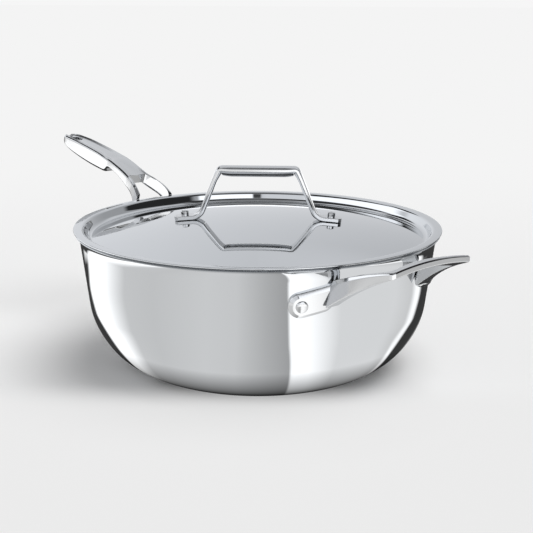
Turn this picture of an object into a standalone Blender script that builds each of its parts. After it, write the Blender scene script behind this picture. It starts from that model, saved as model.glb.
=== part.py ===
"""Chef's pan with lid.

A clad stainless steel pan with swept sides, a forked long handle and a helper handle, both
riveted on, and a recessed sheet lid with a riveted strap handle.

Metres, +Z up. The origin is the centre of the pan's flat base. The helper handle points along +X
and the long handle along -X. The lid is turned about Z, as it was set down for the photograph.
"""

import math

import bmesh
import bpy
import numpy as np
from mathutils import Matrix, Vector

# Fits
SEAT_GAP = 0.0003  # between pieces that touch
HOLE_CLEARANCE = 0.0003  # round a rivet's shank
LID_SIDE_CLEARANCE = 0.0015  # between the lid's edge and the handles beside it

# Pan body, measured on the outside of its outer skin
PAN_HEIGHT = 0.1167  # table to the lip's top edge
LIP_RADIUS = 0.1488  # outermost edge of the lip
LIP_FLARE_RADIUS = 0.008  # bend that turns the wall outwards into the lip
LIP_TILT = math.radians(60)  # how far the lip leans out from upright
WALL_SLOPE = math.radians(6.8)  # how far the wall leans out from upright
CORNER_RADIUS = 0.065  # sweep from the flat base into the wall
SKIN_THICKNESS = 0.0005
CORE_THICKNESS = 0.0013
LINING_THICKNESS = 0.0005

# Lid sheet
LID_OVERHANG = 0.0012  # the flange's edge beyond the lip
LID_SHEET = 0.001
FLANGE_WIDTH = 0.008  # flat ring that rests on the lip
RECESS_SLANT = 0.0035  # how far the recess wall leans in from the flange to the dome
DOME_RADIUS = 0.700
CROWN_RISE = 0.005  # top of the dome above the flange
RECESS_FILLET = 0.0022
FLANGE_FILLET = 0.0018

# Lid handle, one strap bent into a loop
LID_TURN = math.radians(47.5)
STRAP_WIDTH = 0.0124
LOOP_HEIGHT = 0.0428  # top of the grip above the dome's crown
GRIP_HALF_LENGTH = 0.0332  # centre to the grip's outer corner
LEG_FOOT_REACH = 0.0495  # centre to where the leg meets its tab
TAB_REACH = 0.0687  # centre to the tab's end
LOOP_TOP_BEND = 0.006
LOOP_FOOT_BEND = 0.008
GRIP_THICKNESS = 0.0077
LEG_THICKNESS = 0.0046
TAB_THICKNESS = 0.0033
GRIP_DISH = 0.0028  # depth of the hollow along the top of the grip
TAB_END_ROUND = 0.0045

# Pads that the pan's handles are riveted through
PAD_THICKNESS = 0.0035
PAD_BEVEL = 0.0028  # how far the pad's edge slopes in
PAD_HALF_HEIGHT = 0.0095
PAD_HEIGHT_BELOW_RIM = 0.0275  # rivet's centre below the lip's top edge
PAD_TILT = math.radians(12)  # how far a pad rises towards its arm
ROOT_OVERRUN = 0.016  # how far an arm is drawn past the wall before it is cut to fit

# Helper handle
HELPER_OUT = 0.039  # the grip bar's outer face beyond the lid's edge
HELPER_RISE = 0.0039  # bar's outer top edge above the lip, at the bar's ends
HELPER_ARCH = 0.0033  # extra rise at the middle of the bar
HELPER_HALF_SPAN = 0.0412  # half width over the arms, at the bar
HELPER_ROOT_HALF_SPAN = 0.0505  # half width over the arms, at the pan
HELPER_ARM_THICKNESS = 0.007
HELPER_BAR_WIDTH = 0.010
HELPER_BAR_DEPTH = 0.0050
HELPER_OUTER_CORNER = 0.004
HELPER_INNER_CORNER = 0.005
HELPER_FALL = 0.0115  # drop of the top edge from bar to root, at the bar's own slope
HELPER_CURVE = 0.0078  # further drop, from the arms' bend
HELPER_WEB = 0.0083  # how much deeper the arms are at the root, at a steady rate
HELPER_WEB_CURVE = 0.0112  # further depth, which comes near the root
HELPER_FLARE = 0.0045  # how far the arms' outer lower edge spreads out at the root
HELPER_DISH = 0.0009
HELPER_SHOULDER = 0.0032  # rounding of the arms' outer top edge at the pan
HELPER_EDGE = 0.0006
HELPER_PAD_AZIMUTH = math.radians(27.8)

# Long handle's underside: distance out from the lid's edge, rise above the lip, half width and
# depth of the section on it, from the foot on the wall to the tip
LONG_STATIONS = (
    (-0.0035, -0.0375, 0.0234, 0.0120),
    (-0.0022, -0.0300, 0.0232, 0.0120),
    (-0.0002, -0.0220, 0.0229, 0.0130),
    (0.0028, -0.0140, 0.0222, 0.0135),
    (0.0068, -0.0067, 0.0206, 0.0125),
    (0.0120, 0.0000, 0.0180, 0.0102),
    (0.0208, 0.0045, 0.0150, 0.0106),
    (0.0306, 0.0085, 0.0127, 0.0110),
    (0.0418, 0.0147, 0.0119, 0.0102),
    (0.0525, 0.0195, 0.0120, 0.0090),
    (0.0625, 0.0227, 0.0120, 0.0082),
    (0.0698, 0.0194, 0.0116, 0.0132),
    (0.0827, 0.0208, 0.0109, 0.0144),
    (0.1025, 0.0241, 0.0107, 0.0146),
    (0.1242, 0.0285, 0.0106, 0.0140),
    (0.1413, 0.0318, 0.0090, 0.0132),
    (0.1469, 0.0338, 0.0076, 0.0110),
    (0.1502, 0.0359, 0.0052, 0.0085),
    (0.1519, 0.0385, 0.0026, 0.0055),
)
LONG_DISH = 0.0019
LONG_EDGE = 0.0007
LONG_PAD_AZIMUTH = math.radians(16)
FORK_CROTCH = 0.0285  # the fork's closed end, out from the lid's edge
FORK_CROTCH_HALF_WIDTH = 0.0092
FORK_RIM = 0.008  # where the gap's sides bend, out from the lid's edge
FORK_RIM_HALF_WIDTH = 0.0142
FORK_FOOT_IN = 0.010  # the gap's feet, in from the lid's edge
FORK_FOOT_HALF_WIDTH = 0.0184
FORK_CORNER = 0.003
HANG_HOLE_OUT = 0.1370  # the hang hole's centre, out from the lid's edge
HANG_HOLE_WIDTH = 0.0068
HANG_HOLE_LENGTH = 0.0136

# Rivets
PAN_SHANK_RADIUS = 0.0026
PAN_OUTER_HEAD = (0.0045, 0.0013)  # radius and height
PAN_INNER_HEAD = (0.0056, 0.0016)
LID_SHANK_RADIUS = 0.0020
LID_OUTER_HEAD = (0.0032, 0.0040)
LID_INNER_HEAD = (0.0045, 0.0012)
LID_RIVET_REACH = 0.0598
HEAD_CLEARANCE = 0.0004
HEAD_SIDE = 0.0004  # straight side below a head's dome

# Finishes: linear colour and roughness of each metal
POLISHED_STEEL = ((0.62, 0.63, 0.64), 0.06)
CAST_STEEL = ((0.58, 0.58, 0.58), 0.24)
SATIN_STEEL = ((0.58, 0.58, 0.58), 0.30)
BARE_ALUMINIUM = ((0.80, 0.81, 0.82), 0.40)

# Mesh fineness
ROUND_STEPS = 60
CORNER_STEPS = 7
FLARE_STEPS = 2
RIVET_STEPS = 16
LONG_STEPS = 2  # rings for each station of the long handle

# Derived sizes
LID_RADIUS = LIP_RADIUS + LID_OVERHANG
RECESS_RADIUS = LID_RADIUS - FLANGE_WIDTH - RECESS_SLANT
HELPER_REACH = LID_RADIUS + HELPER_OUT
PAN_THICKNESS = SKIN_THICKNESS + CORE_THICKNESS + LINING_THICKNESS + 2 * SEAT_GAP
LID_TOP = PAN_HEIGHT + SEAT_GAP + LID_SHEET
PAD_HEIGHT = PAN_HEIGHT - PAD_HEIGHT_BELOW_RIM


def clear_scene():
    """Removes whatever the file already holds."""
    for obj in list(bpy.data.objects):
        bpy.data.objects.remove(obj, do_unlink=True)


def new_collection(name):
    """A collection under the scene's own."""
    made = bpy.data.collections.new(name)
    bpy.context.scene.collection.children.link(made)
    return made


def new_material(name, finish):
    """A piece's own metal, from a finish's linear colour and roughness."""
    colour, roughness = finish
    material = bpy.data.materials.new(name)
    material.use_nodes = True
    shader = material.node_tree.nodes["Principled BSDF"]
    shader.inputs["Base Color"].default_value = (*colour, 1.0)
    shader.inputs["Metallic"].default_value = 1.0
    shader.inputs["Roughness"].default_value = roughness
    material.diffuse_color = (*colour, 1.0)
    return material


# Paths in the plane of a turned profile or of a bent strap


def round_corners(corners, radii, steps):
    """The polyline with an arc of the given radius at each inner corner (0 keeps it sharp)."""
    path = [Vector(corners[0])]
    for before, corner, after, radius in zip(corners, corners[1:], corners[2:], radii):
        corner = Vector(corner)
        back = (Vector(before) - corner).normalized()
        ahead = (Vector(after) - corner).normalized()
        half_angle = back.angle(ahead) / 2
        if radius == 0:
            path.append(corner)
            continue
        centre = corner + (back + ahead).normalized() * radius / math.sin(half_angle)
        first = corner + back * radius / math.tan(half_angle) - centre
        last = corner + ahead * radius / math.tan(half_angle) - centre
        sweep = first.angle(last)
        for step in range(steps + 1):
            share = step / steps
            path.append(
                centre
                + (first * math.sin((1 - share) * sweep) + last * math.sin(share * sweep))
                / math.sin(sweep)
            )
    path.append(Vector(corners[-1]))
    return path


def offset_path(path, distance):
    """The path moved to its left, with mitred corners. A point on the axis stays on it."""
    points = np.array([tuple(point) for point in path])
    legs = np.diff(points, axis=0)
    legs /= np.linalg.norm(legs, axis=1)[:, None]
    left = np.stack([-legs[:, 1], legs[:, 0]], axis=1)
    mitre = np.vstack([left[:1], left]) + np.vstack([left, left[-1:]])
    mitre *= 2 / np.sum(mitre**2, axis=1)[:, None]
    moved = points + distance * mitre
    moved[points[:, 0] == 0, 0] = 0
    return moved.tolist()


def lip_bend_centre():
    """Centre of the bend between wall and lip, outside the pan."""
    edge_height = PAN_HEIGHT - PAN_THICKNESS * math.sin(LIP_TILT)
    return (
        LIP_RADIUS + LIP_FLARE_RADIUS * math.cos(LIP_TILT),
        edge_height - LIP_FLARE_RADIUS * math.sin(LIP_TILT),
    )


def shoulder():
    """Radius and height where the straight wall turns into the lip."""
    radius, height = lip_bend_centre()
    return (
        radius - LIP_FLARE_RADIUS * math.cos(WALL_SLOPE),
        height + LIP_FLARE_RADIUS * math.sin(WALL_SLOPE),
    )


def wall_radius(height):
    """Outer radius of the straight wall at a height."""
    radius, top = shoulder()
    return radius - (top - height) * math.tan(WALL_SLOPE)


def base_radius():
    """Radius of the flat base, where the corner sweep begins."""
    tangent_height = CORNER_RADIUS * (1 - math.sin(WALL_SLOPE))
    return wall_radius(tangent_height) - CORNER_RADIUS * math.cos(WALL_SLOPE)


def pan_outer_path():
    """Outside of the pan from the base's centre to the lip, with the pan's inside on its left."""
    path = [(0.0, 0.0)]
    for angle in np.linspace(-math.pi / 2, -WALL_SLOPE, CORNER_STEPS + 1):
        path.append(
            (
                base_radius() + CORNER_RADIUS * math.cos(angle),
                CORNER_RADIUS + CORNER_RADIUS * math.sin(angle),
            )
        )
    centre_radius, centre_height = lip_bend_centre()
    for lean in np.linspace(WALL_SLOPE, LIP_TILT, FLARE_STEPS + 1):
        path.append(
            (
                centre_radius - LIP_FLARE_RADIUS * math.cos(lean),
                centre_height + LIP_FLARE_RADIUS * math.sin(lean),
            )
        )
    return path


def dome_height(radius):
    """Height of the lid's top face on the dome, from the flange's top face."""
    return CROWN_RISE - DOME_RADIUS + math.sqrt(DOME_RADIUS**2 - radius**2)


def lid_top_path():
    """Top face of the lid from its centre to its edge, from the flange's top face."""
    inner = np.linspace(0, LID_RIVET_REACH, 3)
    outer = np.linspace(LID_RIVET_REACH, RECESS_RADIUS, 4)[1:]
    dome = [(radius, dome_height(radius)) for radius in (*inner, *outer)]
    bends = round_corners(
        [dome[-2], dome[-1], (LID_RADIUS - FLANGE_WIDTH, 0), (LID_RADIUS, 0)],
        (RECESS_FILLET, FLANGE_FILLET),
        3,
    )
    return dome[:-1] + [tuple(point) for point in bends[1:]]


# Meshes


def add_object(mesh, name, collection, finish=None, parent=None):
    """The mesh as an object of a collection. Without a finish it is a cutter."""
    obj = bpy.data.objects.new(name, mesh)
    collection.objects.link(obj)
    obj.parent = parent
    if finish:
        mesh.materials.append(new_material(name, finish))
    else:
        obj.hide_render = True
        obj.display_type = "WIRE"
    return obj


def turned(name, profile, steps, collection, finish=None, parent=None):
    """A solid of revolution about Z, from a profile that runs down its outer side."""
    mesh = bpy.data.meshes.new(name)
    points = [(radius, 0, height) for radius, height in profile]
    mesh.from_pydata(points, [(i, i + 1) for i in range(len(points) - 1)], [])
    obj = add_object(mesh, name, collection, finish, parent)
    screw = obj.modifiers.new("turn", "SCREW")
    screw.steps = screw.render_steps = steps
    screw.use_merge_vertices = True
    screw.merge_threshold = 0.00001
    screw.use_smooth_shade = True
    return obj


def loft(name, rings, closed, caps, collection, finish=None, parent=None):
    """Faces between rings of points, which run anticlockwise as seen looking along the loft."""
    shape = bmesh.new()
    rows = [[shape.verts.new(point) for point in ring] for ring in rings]
    for near, far in zip(rows, rows[1:]):
        for i in range(len(near) if closed else len(near) - 1):
            j = (i + 1) % len(near)
            shape.faces.new((near[i], far[i], far[j], near[j]))
    if caps[0]:
        shape.faces.new(rows[0])
    if caps[1]:
        shape.faces.new(reversed(rows[-1]))
    mesh = bpy.data.meshes.new(name)
    shape.to_mesh(mesh)
    shape.free()
    mesh.shade_smooth()
    mesh.set_sharp_from_angle(angle=math.radians(32))
    return add_object(mesh, name, collection, finish, parent)


def flat_cutter(name, outline, top, cutters):
    """A cutter from the table up to a height, on a plan outline drawn as a filled flat curve."""
    curve = bpy.data.curves.new(name, "CURVE")
    curve.dimensions = "2D"
    curve.fill_mode = "BOTH"
    curve.extrude = top / 2
    spline = curve.splines.new("POLY")
    spline.points.add(len(outline) - 1)
    for point, (x, y) in zip(spline.points, outline):
        point.co = (x, y, 0, 1)
    spline.use_cyclic_u = True
    drawn = bpy.data.objects.new(name, curve)
    mesh = bpy.data.meshes.new_from_object(drawn)
    shape = bmesh.new()
    shape.from_mesh(mesh)
    bmesh.ops.remove_doubles(shape, verts=shape.verts, dist=0.00001)
    bmesh.ops.recalc_face_normals(shape, faces=shape.faces)
    shape.to_mesh(mesh)
    shape.free()
    bpy.data.objects.remove(drawn)
    cutter = add_object(mesh, name, cutters)
    cutter.location = (0, 0, top / 2)
    return cutter


def mirror(obj, axis):
    """Completes a half that is open at the plane across the axis."""
    modifier = obj.modifiers.new("other half", "MIRROR")
    modifier.use_axis = [axis == name for name in "XYZ"]
    modifier.use_clip = True
    modifier.merge_threshold = 0.00001


def combine(obj, other, operation):
    """A Boolean with another object."""
    modifier = obj.modifiers.new(f"{operation.lower()} {other.name}", "BOOLEAN")
    modifier.operation = operation
    modifier.object = other


def smoothstep(share):
    """0 to 1 with level ends."""
    share = min(max(share, 0.0), 1.0)
    return share * share * (3 - 2 * share)


def smooth_table(keys, samples):
    """Rows on a smooth curve through the keys, by Catmull-Rom, at evenly spread parameters."""
    keys = np.array(keys)
    before = np.vstack([2 * keys[:1] - keys[1:2], keys, 2 * keys[-1:] - keys[-2:-1]])
    rows = []
    for parameter in np.linspace(0, len(keys) - 1, samples):
        first = min(int(parameter), len(keys) - 2)
        t = parameter - first
        a, b, c, d = before[first : first + 4]
        rows.append(
            0.5
            * (2 * b + (c - a) * t + (2 * a - 5 * b + 4 * c - d) * t**2 + (3 * b - a - 3 * c + d) * t**3)
        )
    return np.array(rows)


# Pan body


def wall_frame(azimuth):
    """Where a rivet goes through the wall: local Z points out of the wall and local Y up it."""
    lean, rise = math.cos(WALL_SLOPE), math.sin(WALL_SLOPE)
    across, along = math.cos(azimuth), math.sin(azimuth)
    radius = wall_radius(PAD_HEIGHT)
    out = Vector((lean * across, lean * along, -rise))
    up = Vector((rise * across, rise * along, lean))
    frame = Matrix((up.cross(out), up, out)).transposed().to_4x4()
    frame.translation = (radius * across, radius * along, PAD_HEIGHT)
    return frame


def pan_envelope(name, clearance, cutters):
    """The pan's outside grown by a clearance, with a guard column round the lid's path above it."""
    outside = offset_path(pan_outer_path(), -clearance)
    top = LID_TOP + LONG_STATIONS[-1][1]
    guard = max(LID_RADIUS + LID_SIDE_CLEARANCE, outside[-1][0])
    profile = [(0, top), (guard, top), (guard, outside[-1][1])] + outside[::-1]
    return turned(name, profile, ROUND_STEPS, cutters)


def pan_layer(name, depth, thickness, holes, collection, finish):
    """One layer of the clad sheet, from a depth below the pan's outside, with its rivet holes."""
    outside = offset_path(pan_outer_path(), depth)
    inside = offset_path(pan_outer_path(), depth + thickness)
    layer = turned(name, inside + outside[::-1], ROUND_STEPS, collection, finish)
    for hole in holes:
        combine(layer, hole, "DIFFERENCE")
    return layer


def wall_hole(name, azimuth, cutters):
    """Cutter for a rivet's hole through the wall and the handle's pad."""
    shape = bmesh.new()
    reach = 2 * (PAN_THICKNESS + PAD_THICKNESS)
    bmesh.ops.create_cone(
        shape,
        cap_ends=True,
        segments=RIVET_STEPS,
        radius1=PAN_SHANK_RADIUS + HOLE_CLEARANCE,
        radius2=PAN_SHANK_RADIUS + HOLE_CLEARANCE,
        depth=2 * reach,
    )
    mesh = bpy.data.meshes.new(name)
    shape.to_mesh(mesh)
    shape.free()
    cutter = add_object(mesh, name, cutters)
    cutter.matrix_world = wall_frame(azimuth)
    return cutter


# Rivets


def rivet_profile(shank_radius, outer_head, outer_seat, inner_head, inner_seat, dome_share):
    """A rivet's outline from the top of its outer head down to its inner head."""
    profile = []
    for radius, height, seat, side in (
        (*outer_head, outer_seat, 1),
        (*inner_head, inner_seat, -1),
    ):
        straight = max(height * (1 - dome_share), HEAD_SIDE)
        half = [
            (
                radius * math.sin(angle),
                seat + side * (straight + (height - straight) * math.cos(angle)),
            )
            for angle in np.linspace(0, math.pi / 2, 4)
        ]
        half[0] = (0.0, half[0][1])
        half += [(radius, seat), (shank_radius, seat)]
        profile += half if side == 1 else half[::-1]
    return profile


def pan_rivet(name, azimuth, collection, finish):
    """A rivet through a pad and the clad wall."""
    outer_seat = SEAT_GAP + PAD_THICKNESS + HEAD_CLEARANCE
    inner_seat = -PAN_THICKNESS - HEAD_CLEARANCE
    profile = rivet_profile(
        PAN_SHANK_RADIUS, PAN_OUTER_HEAD, outer_seat, PAN_INNER_HEAD, inner_seat, 1.0
    )
    rivet = turned(name, profile, RIVET_STEPS, collection, finish)
    rivet.matrix_world = wall_frame(azimuth)
    return rivet


# Pads


def pad(name, azimuth, side, arm_centre, envelope, cutters):
    """A tongue on the wall, from an arm's centre line to round the rivet, with sloping edges.

    The side is 1 where the rivet is anticlockwise from the arm, seen from above, and -1 where it
    is clockwise.
    """
    frame = wall_frame(azimuth)
    run = (abs(frame.translation.y) - arm_centre) / abs(math.cos(azimuth))
    rings = []
    for level in (-2 * PAD_THICKNESS, 2 * PAD_THICKNESS):
        radius = PAD_HALF_HEIGHT - PAD_BEVEL * level / PAD_THICKNESS
        ring = [
            Vector((radius * math.cos(angle), radius * math.sin(angle), level))
            for angle in np.linspace(-math.pi / 2, math.pi / 2, 9)
        ]
        ring += [Vector((-run, radius, level)), Vector((-run, -radius, level))]
        rings.append(ring[::-1])
    tongue = loft(name, rings, True, (True, True), cutters)
    turn = math.pi * (1 - side) / 2 - side * PAD_TILT
    tongue.matrix_world = frame @ Matrix.Rotation(turn, 4, "Z")
    combine(tongue, envelope, "INTERSECT")
    return tongue


def finish_handle(handle, pads, wall, holes):
    """Joins a handle's pads to it, fits it to the wall and drills it."""
    for piece in pads:
        combine(handle, piece, "UNION")
    combine(handle, wall, "DIFFERENCE")
    for hole in holes:
        combine(handle, hole, "DIFFERENCE")
    return handle


# Helper handle


def helper_root():
    """Distance from the pan's axis to where the arms' drawn ends lie, inside the wall."""
    return wall_radius(PAD_HEIGHT) - ROOT_OVERRUN


def helper_top(share):
    """Height of the helper handle's top edge, at a share of the way from bar to root."""
    return PAN_HEIGHT + HELPER_RISE - HELPER_FALL * share - HELPER_CURVE * share**2


def helper_depth(share):
    """Depth of the helper handle's section, which grows towards the pan."""
    return HELPER_BAR_DEPTH + HELPER_WEB * share + HELPER_WEB_CURVE * share**2


def helper_plan():
    """Pairs of plan points, outer and inner, from the bar's middle round the corner to the root."""
    run = HELPER_REACH - helper_root()
    splay = math.atan2(HELPER_ROOT_HALF_SPAN - HELPER_HALF_SPAN, run)
    outer_centre = Vector((HELPER_REACH - HELPER_OUTER_CORNER, HELPER_HALF_SPAN - HELPER_OUTER_CORNER))
    inner_centre = Vector(
        (
            HELPER_REACH - HELPER_BAR_WIDTH - HELPER_INNER_CORNER,
            HELPER_HALF_SPAN - HELPER_ARM_THICKNESS - HELPER_INNER_CORNER,
        )
    )
    pairs = []
    for share in np.linspace(0, 1, 5)[:-1]:
        pairs.append(
            (
                Vector((HELPER_REACH, share * outer_centre.y)),
                Vector((HELPER_REACH - HELPER_BAR_WIDTH, share * inner_centre.y)),
            )
        )
    for angle in np.linspace(0, math.pi / 2 - splay, 5):
        heading = Vector((math.cos(angle), math.sin(angle)))
        pairs.append(
            (
                outer_centre + heading * HELPER_OUTER_CORNER,
                inner_centre + heading * HELPER_INNER_CORNER,
            )
        )
    outer_start, inner_start = pairs[-1]
    outer_root = Vector((helper_root(), HELPER_ROOT_HALF_SPAN))
    inner_root = Vector((helper_root(), HELPER_ROOT_HALF_SPAN - HELPER_ARM_THICKNESS))
    for share in np.linspace(0, 1, 6)[1:]:
        pairs.append((outer_start.lerp(outer_root, share), inner_start.lerp(inner_root, share)))
    return pairs


def helper_ring(outer, inner):
    """The helper handle's section between two plan points, with its dished top."""
    run = HELPER_REACH - helper_root()
    arch = HELPER_ARCH * max(0.0, 1 - (outer.y / HELPER_HALF_SPAN) ** 2)
    near = smoothstep((HELPER_REACH - outer.x) / run)
    shoulder_drop = HELPER_EDGE + (HELPER_SHOULDER - HELPER_EDGE) * near
    flare = HELPER_FLARE / HELPER_ARM_THICKNESS * near**3
    section = (
        (-flare, "bottom", HELPER_EDGE),
        (-0.12 * flare, "top", -shoulder_drop),
        (0.16, "top", 0.0),
        (0.50, "top", -HELPER_DISH),
        (0.84, "top", 0.0),
        (1.00, "top", -HELPER_EDGE),
        (1.00, "bottom", HELPER_EDGE),
        (0.84, "bottom", 0.0),
        (0.16, "bottom", 0.0),
    )
    ring = []
    for share, level, lift in section:
        place = outer.lerp(inner, share)
        inward = (HELPER_REACH - place.x) / run
        height = helper_top(inward) + arch + lift
        if level == "bottom":
            height -= helper_depth(inward)
        ring.append((place.x, place.y, height))
    return ring


def helper_handle(collection, cutters, wall, pad_envelope, holes, finish):
    """The helper handle: a bar between two arms, whose pads are riveted to the wall."""
    rings = [helper_ring(outer, inner) for outer, inner in helper_plan()]
    handle = loft("helper_handle", rings, True, (False, True), collection, finish)
    mirror(handle, "Y")
    arm_centre = HELPER_ROOT_HALF_SPAN - HELPER_ARM_THICKNESS / 2
    pads = [
        pad("helper_pad_left", HELPER_PAD_AZIMUTH, 1, arm_centre, pad_envelope, cutters),
        pad("helper_pad_right", -HELPER_PAD_AZIMUTH, -1, arm_centre, pad_envelope, cutters),
    ]
    return finish_handle(handle, pads, wall, holes)


# Long handle


def long_half_ring(station, along):
    """Half of the long handle's section, from the middle of its underside to that of its top."""
    out, rise, half_width, depth = station
    up = Vector((along.z, 0, -along.x))
    start = Vector((-(LID_RADIUS + out), 0, PAN_HEIGHT + rise))
    dish = min(LONG_DISH, 0.35 * depth)
    half_section = (
        (0.00, 0.0),
        (0.45, 0.0),
        (0.82, 0.07 * depth),
        (1.00, 0.34 * depth),
        (1.00, depth - LONG_EDGE),
        (0.86, depth),
        (0.50, depth - 0.7 * dish),
        (0.00, depth - dish),
    )
    return [start + up * lift + Vector((0, share * half_width, 0)) for share, lift in half_section]


def fork_slot(cutters):
    """Cutter for the gap between the long handle's two arms."""
    crotch = -(LID_RADIUS + FORK_CROTCH)
    rim = -(LID_RADIUS + FORK_RIM)
    inside = -(LID_RADIUS - FORK_FOOT_IN)
    outline = round_corners(
        [
            (inside, -FORK_FOOT_HALF_WIDTH),
            (rim, -FORK_RIM_HALF_WIDTH),
            (crotch, -FORK_CROTCH_HALF_WIDTH),
            (crotch, FORK_CROTCH_HALF_WIDTH),
            (rim, FORK_RIM_HALF_WIDTH),
            (inside, FORK_FOOT_HALF_WIDTH),
        ],
        (0, FORK_CORNER, FORK_CORNER, 0),
        3,
    )
    return flat_cutter("fork_slot", outline, LID_TOP + LONG_STATIONS[-1][1], cutters)


def hang_hole(cutters):
    """Cutter for the oval hole near the long handle's tip."""
    centre = -(LID_RADIUS + HANG_HOLE_OUT)
    radius = HANG_HOLE_WIDTH / 2
    straight = HANG_HOLE_LENGTH / 2 - radius
    outline = [
        Vector((centre + side * straight + radius * math.cos(angle), radius * math.sin(angle)))
        for side, middle in ((1, 0.0), (-1, math.pi))
        for angle in np.linspace(middle - math.pi / 2, middle + math.pi / 2, 7)
    ]
    return flat_cutter("hang_hole", outline, LID_TOP + 2 * LONG_STATIONS[-1][1], cutters)


def long_handle(collection, cutters, wall, pad_envelope, holes, finish):
    """The long handle: two arms on pads, which meet in a dished grip with a hang hole."""
    stations = smooth_table(LONG_STATIONS, LONG_STEPS * (len(LONG_STATIONS) - 1) + 1)
    rings = []
    for index, station in enumerate(stations):
        before = stations[max(index - 1, 0)]
        after = stations[min(index + 1, len(stations) - 1)]
        along = Vector((-(after[0] - before[0]), 0, after[1] - before[1])).normalized()
        rings.append(long_half_ring(station, along))
    handle = loft("long_handle", rings, False, (True, True), collection, finish)
    mirror(handle, "Y")
    combine(handle, fork_slot(cutters), "DIFFERENCE")
    combine(handle, hang_hole(cutters), "DIFFERENCE")
    arm_centre = (LONG_STATIONS[0][2] + FORK_FOOT_HALF_WIDTH) / 2
    pads = [
        pad("long_pad_left", math.pi + LONG_PAD_AZIMUTH, 1, arm_centre, pad_envelope, cutters),
        pad("long_pad_right", math.pi - LONG_PAD_AZIMUTH, -1, arm_centre, pad_envelope, cutters),
    ]
    return finish_handle(handle, pads, wall, holes)


# Lid


def lid_shell(collection, finish, parent, holes):
    """The lid's pressed sheet: dome, recess wall and flange."""
    top = lid_top_path()
    under = offset_path(top, -LID_SHEET)
    shell = turned("lid_shell", top + under[::-1], ROUND_STEPS, collection, finish, parent)
    for hole in holes:
        combine(shell, hole, "DIFFERENCE")
    return shell


def tab_top(reach):
    """Height of a tab's top face, from the flange's top face. The tab lies along the dome."""
    slope = LID_RIVET_REACH / math.sqrt(DOME_RADIUS**2 - LID_RIVET_REACH**2)
    seat = dome_height(LID_RIVET_REACH) - slope * (reach - LID_RIVET_REACH)
    return seat + (SEAT_GAP + TAB_THICKNESS) / math.cos(math.atan(slope))


def strap_ring(place, along, half_width, thickness, dish, fullness):
    """The strap's section: a dished outer face over an inner face that is round or flat."""
    up = Vector((-along.z, 0, along.x))
    right = along.cross(up)
    side_low = 0.42 + 0.40 * (1 - fullness)
    section = (
        (0.0, -thickness),
        (0.30 + 0.14 * (1 - fullness), -thickness * (1 - 0.10 * fullness)),
        (0.5, -thickness * side_low),
        (0.5, -0.12 * thickness),
        (0.42, 0.0),
        (0.24, -0.75 * dish),
        (0.0, -dish),
        (-0.24, -0.75 * dish),
        (-0.42, 0.0),
        (-0.5, -0.12 * thickness),
        (-0.5, -thickness * side_low),
        (-0.30 - 0.14 * (1 - fullness), -thickness * (1 - 0.10 * fullness)),
    )
    return [place + right * (2 * half_width * across) + up * lift for across, lift in section]


def strap_stations():
    """Centre-line points of half the loop, with each one's half width, thickness and dish."""
    top = CROWN_RISE + LOOP_HEIGHT
    corners = [
        (0, top),
        (GRIP_HALF_LENGTH, top),
        (LEG_FOOT_REACH, tab_top(LEG_FOOT_REACH)),
        (TAB_REACH, tab_top(TAB_REACH)),
    ]
    bend = round_corners(corners, (LOOP_TOP_BEND, LOOP_FOOT_BEND), 4)
    path = [bend[0], bend[0].lerp(bend[1], 0.5), *bend[1:6], bend[5].lerp(bend[6], 0.5), *bend[6:-1]]
    end = bend[-1]
    for back, half_width in (
        (TAB_END_ROUND, STRAP_WIDTH / 2),
        (0.4 * TAB_END_ROUND, 0.86 * STRAP_WIDTH / 2),
        (0.0, 0.48 * STRAP_WIDTH / 2),
    ):
        away = (bend[-2] - end).normalized() * back
        path.append((end + away, half_width))
    stations = []
    for index, entry in enumerate(path):
        place, half_width = entry if isinstance(entry, tuple) else (entry, STRAP_WIDTH / 2)
        grip = 1 - smoothstep((index - 1) / 6)
        leg = 1 - smoothstep((index - 8) / 4)
        thickness = TAB_THICKNESS + (LEG_THICKNESS - TAB_THICKNESS) * leg
        thickness += (GRIP_THICKNESS - LEG_THICKNESS) * grip
        dish = GRIP_DISH * (0.3 * leg + 0.7 * grip)
        stations.append((place, half_width, thickness, dish, leg))
    return stations


def lid_handle(collection, finish, parent, holes):
    """The lid's strap handle: a grip, two legs and two tabs."""
    stations = strap_stations()
    rings = []
    for index, (place, half_width, thickness, dish, fullness) in enumerate(stations):
        before = stations[max(index - 1, 0)][0]
        after = stations[min(index + 1, len(stations) - 1)][0]
        along = Vector((1, 0, 0)) if index == 0 else Vector((after.x - before.x, 0, after.y - before.y))
        centre = Vector((place.x, 0, place.y))
        rings.append(strap_ring(centre, along.normalized(), half_width, thickness, dish, fullness))
    handle = loft("lid_handle", rings, True, (False, True), collection, finish, parent)
    mirror(handle, "X")
    for hole in holes:
        combine(handle, hole, "DIFFERENCE")
    return handle


def lid_rivet_frame(side):
    """Where a lid rivet stands, in the lid's own frame: local Z is square to the dome."""
    slope = math.asin(LID_RIVET_REACH / DOME_RADIUS)
    frame = Matrix.Rotation(side * slope, 4, "Y")
    frame.translation = (side * LID_RIVET_REACH, 0, dome_height(LID_RIVET_REACH))
    return frame


def lid_rivet(name, side, collection, finish, parent):
    """A rivet through a tab and the lid's sheet, with a tall outer head."""
    profile = rivet_profile(
        LID_SHANK_RADIUS,
        LID_OUTER_HEAD,
        SEAT_GAP + TAB_THICKNESS + HEAD_CLEARANCE,
        LID_INNER_HEAD,
        -LID_SHEET - HEAD_CLEARANCE,
        0.3,
    )
    rivet = turned(name, profile, RIVET_STEPS, collection, finish, parent)
    rivet.matrix_local = lid_rivet_frame(side)
    return rivet


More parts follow.
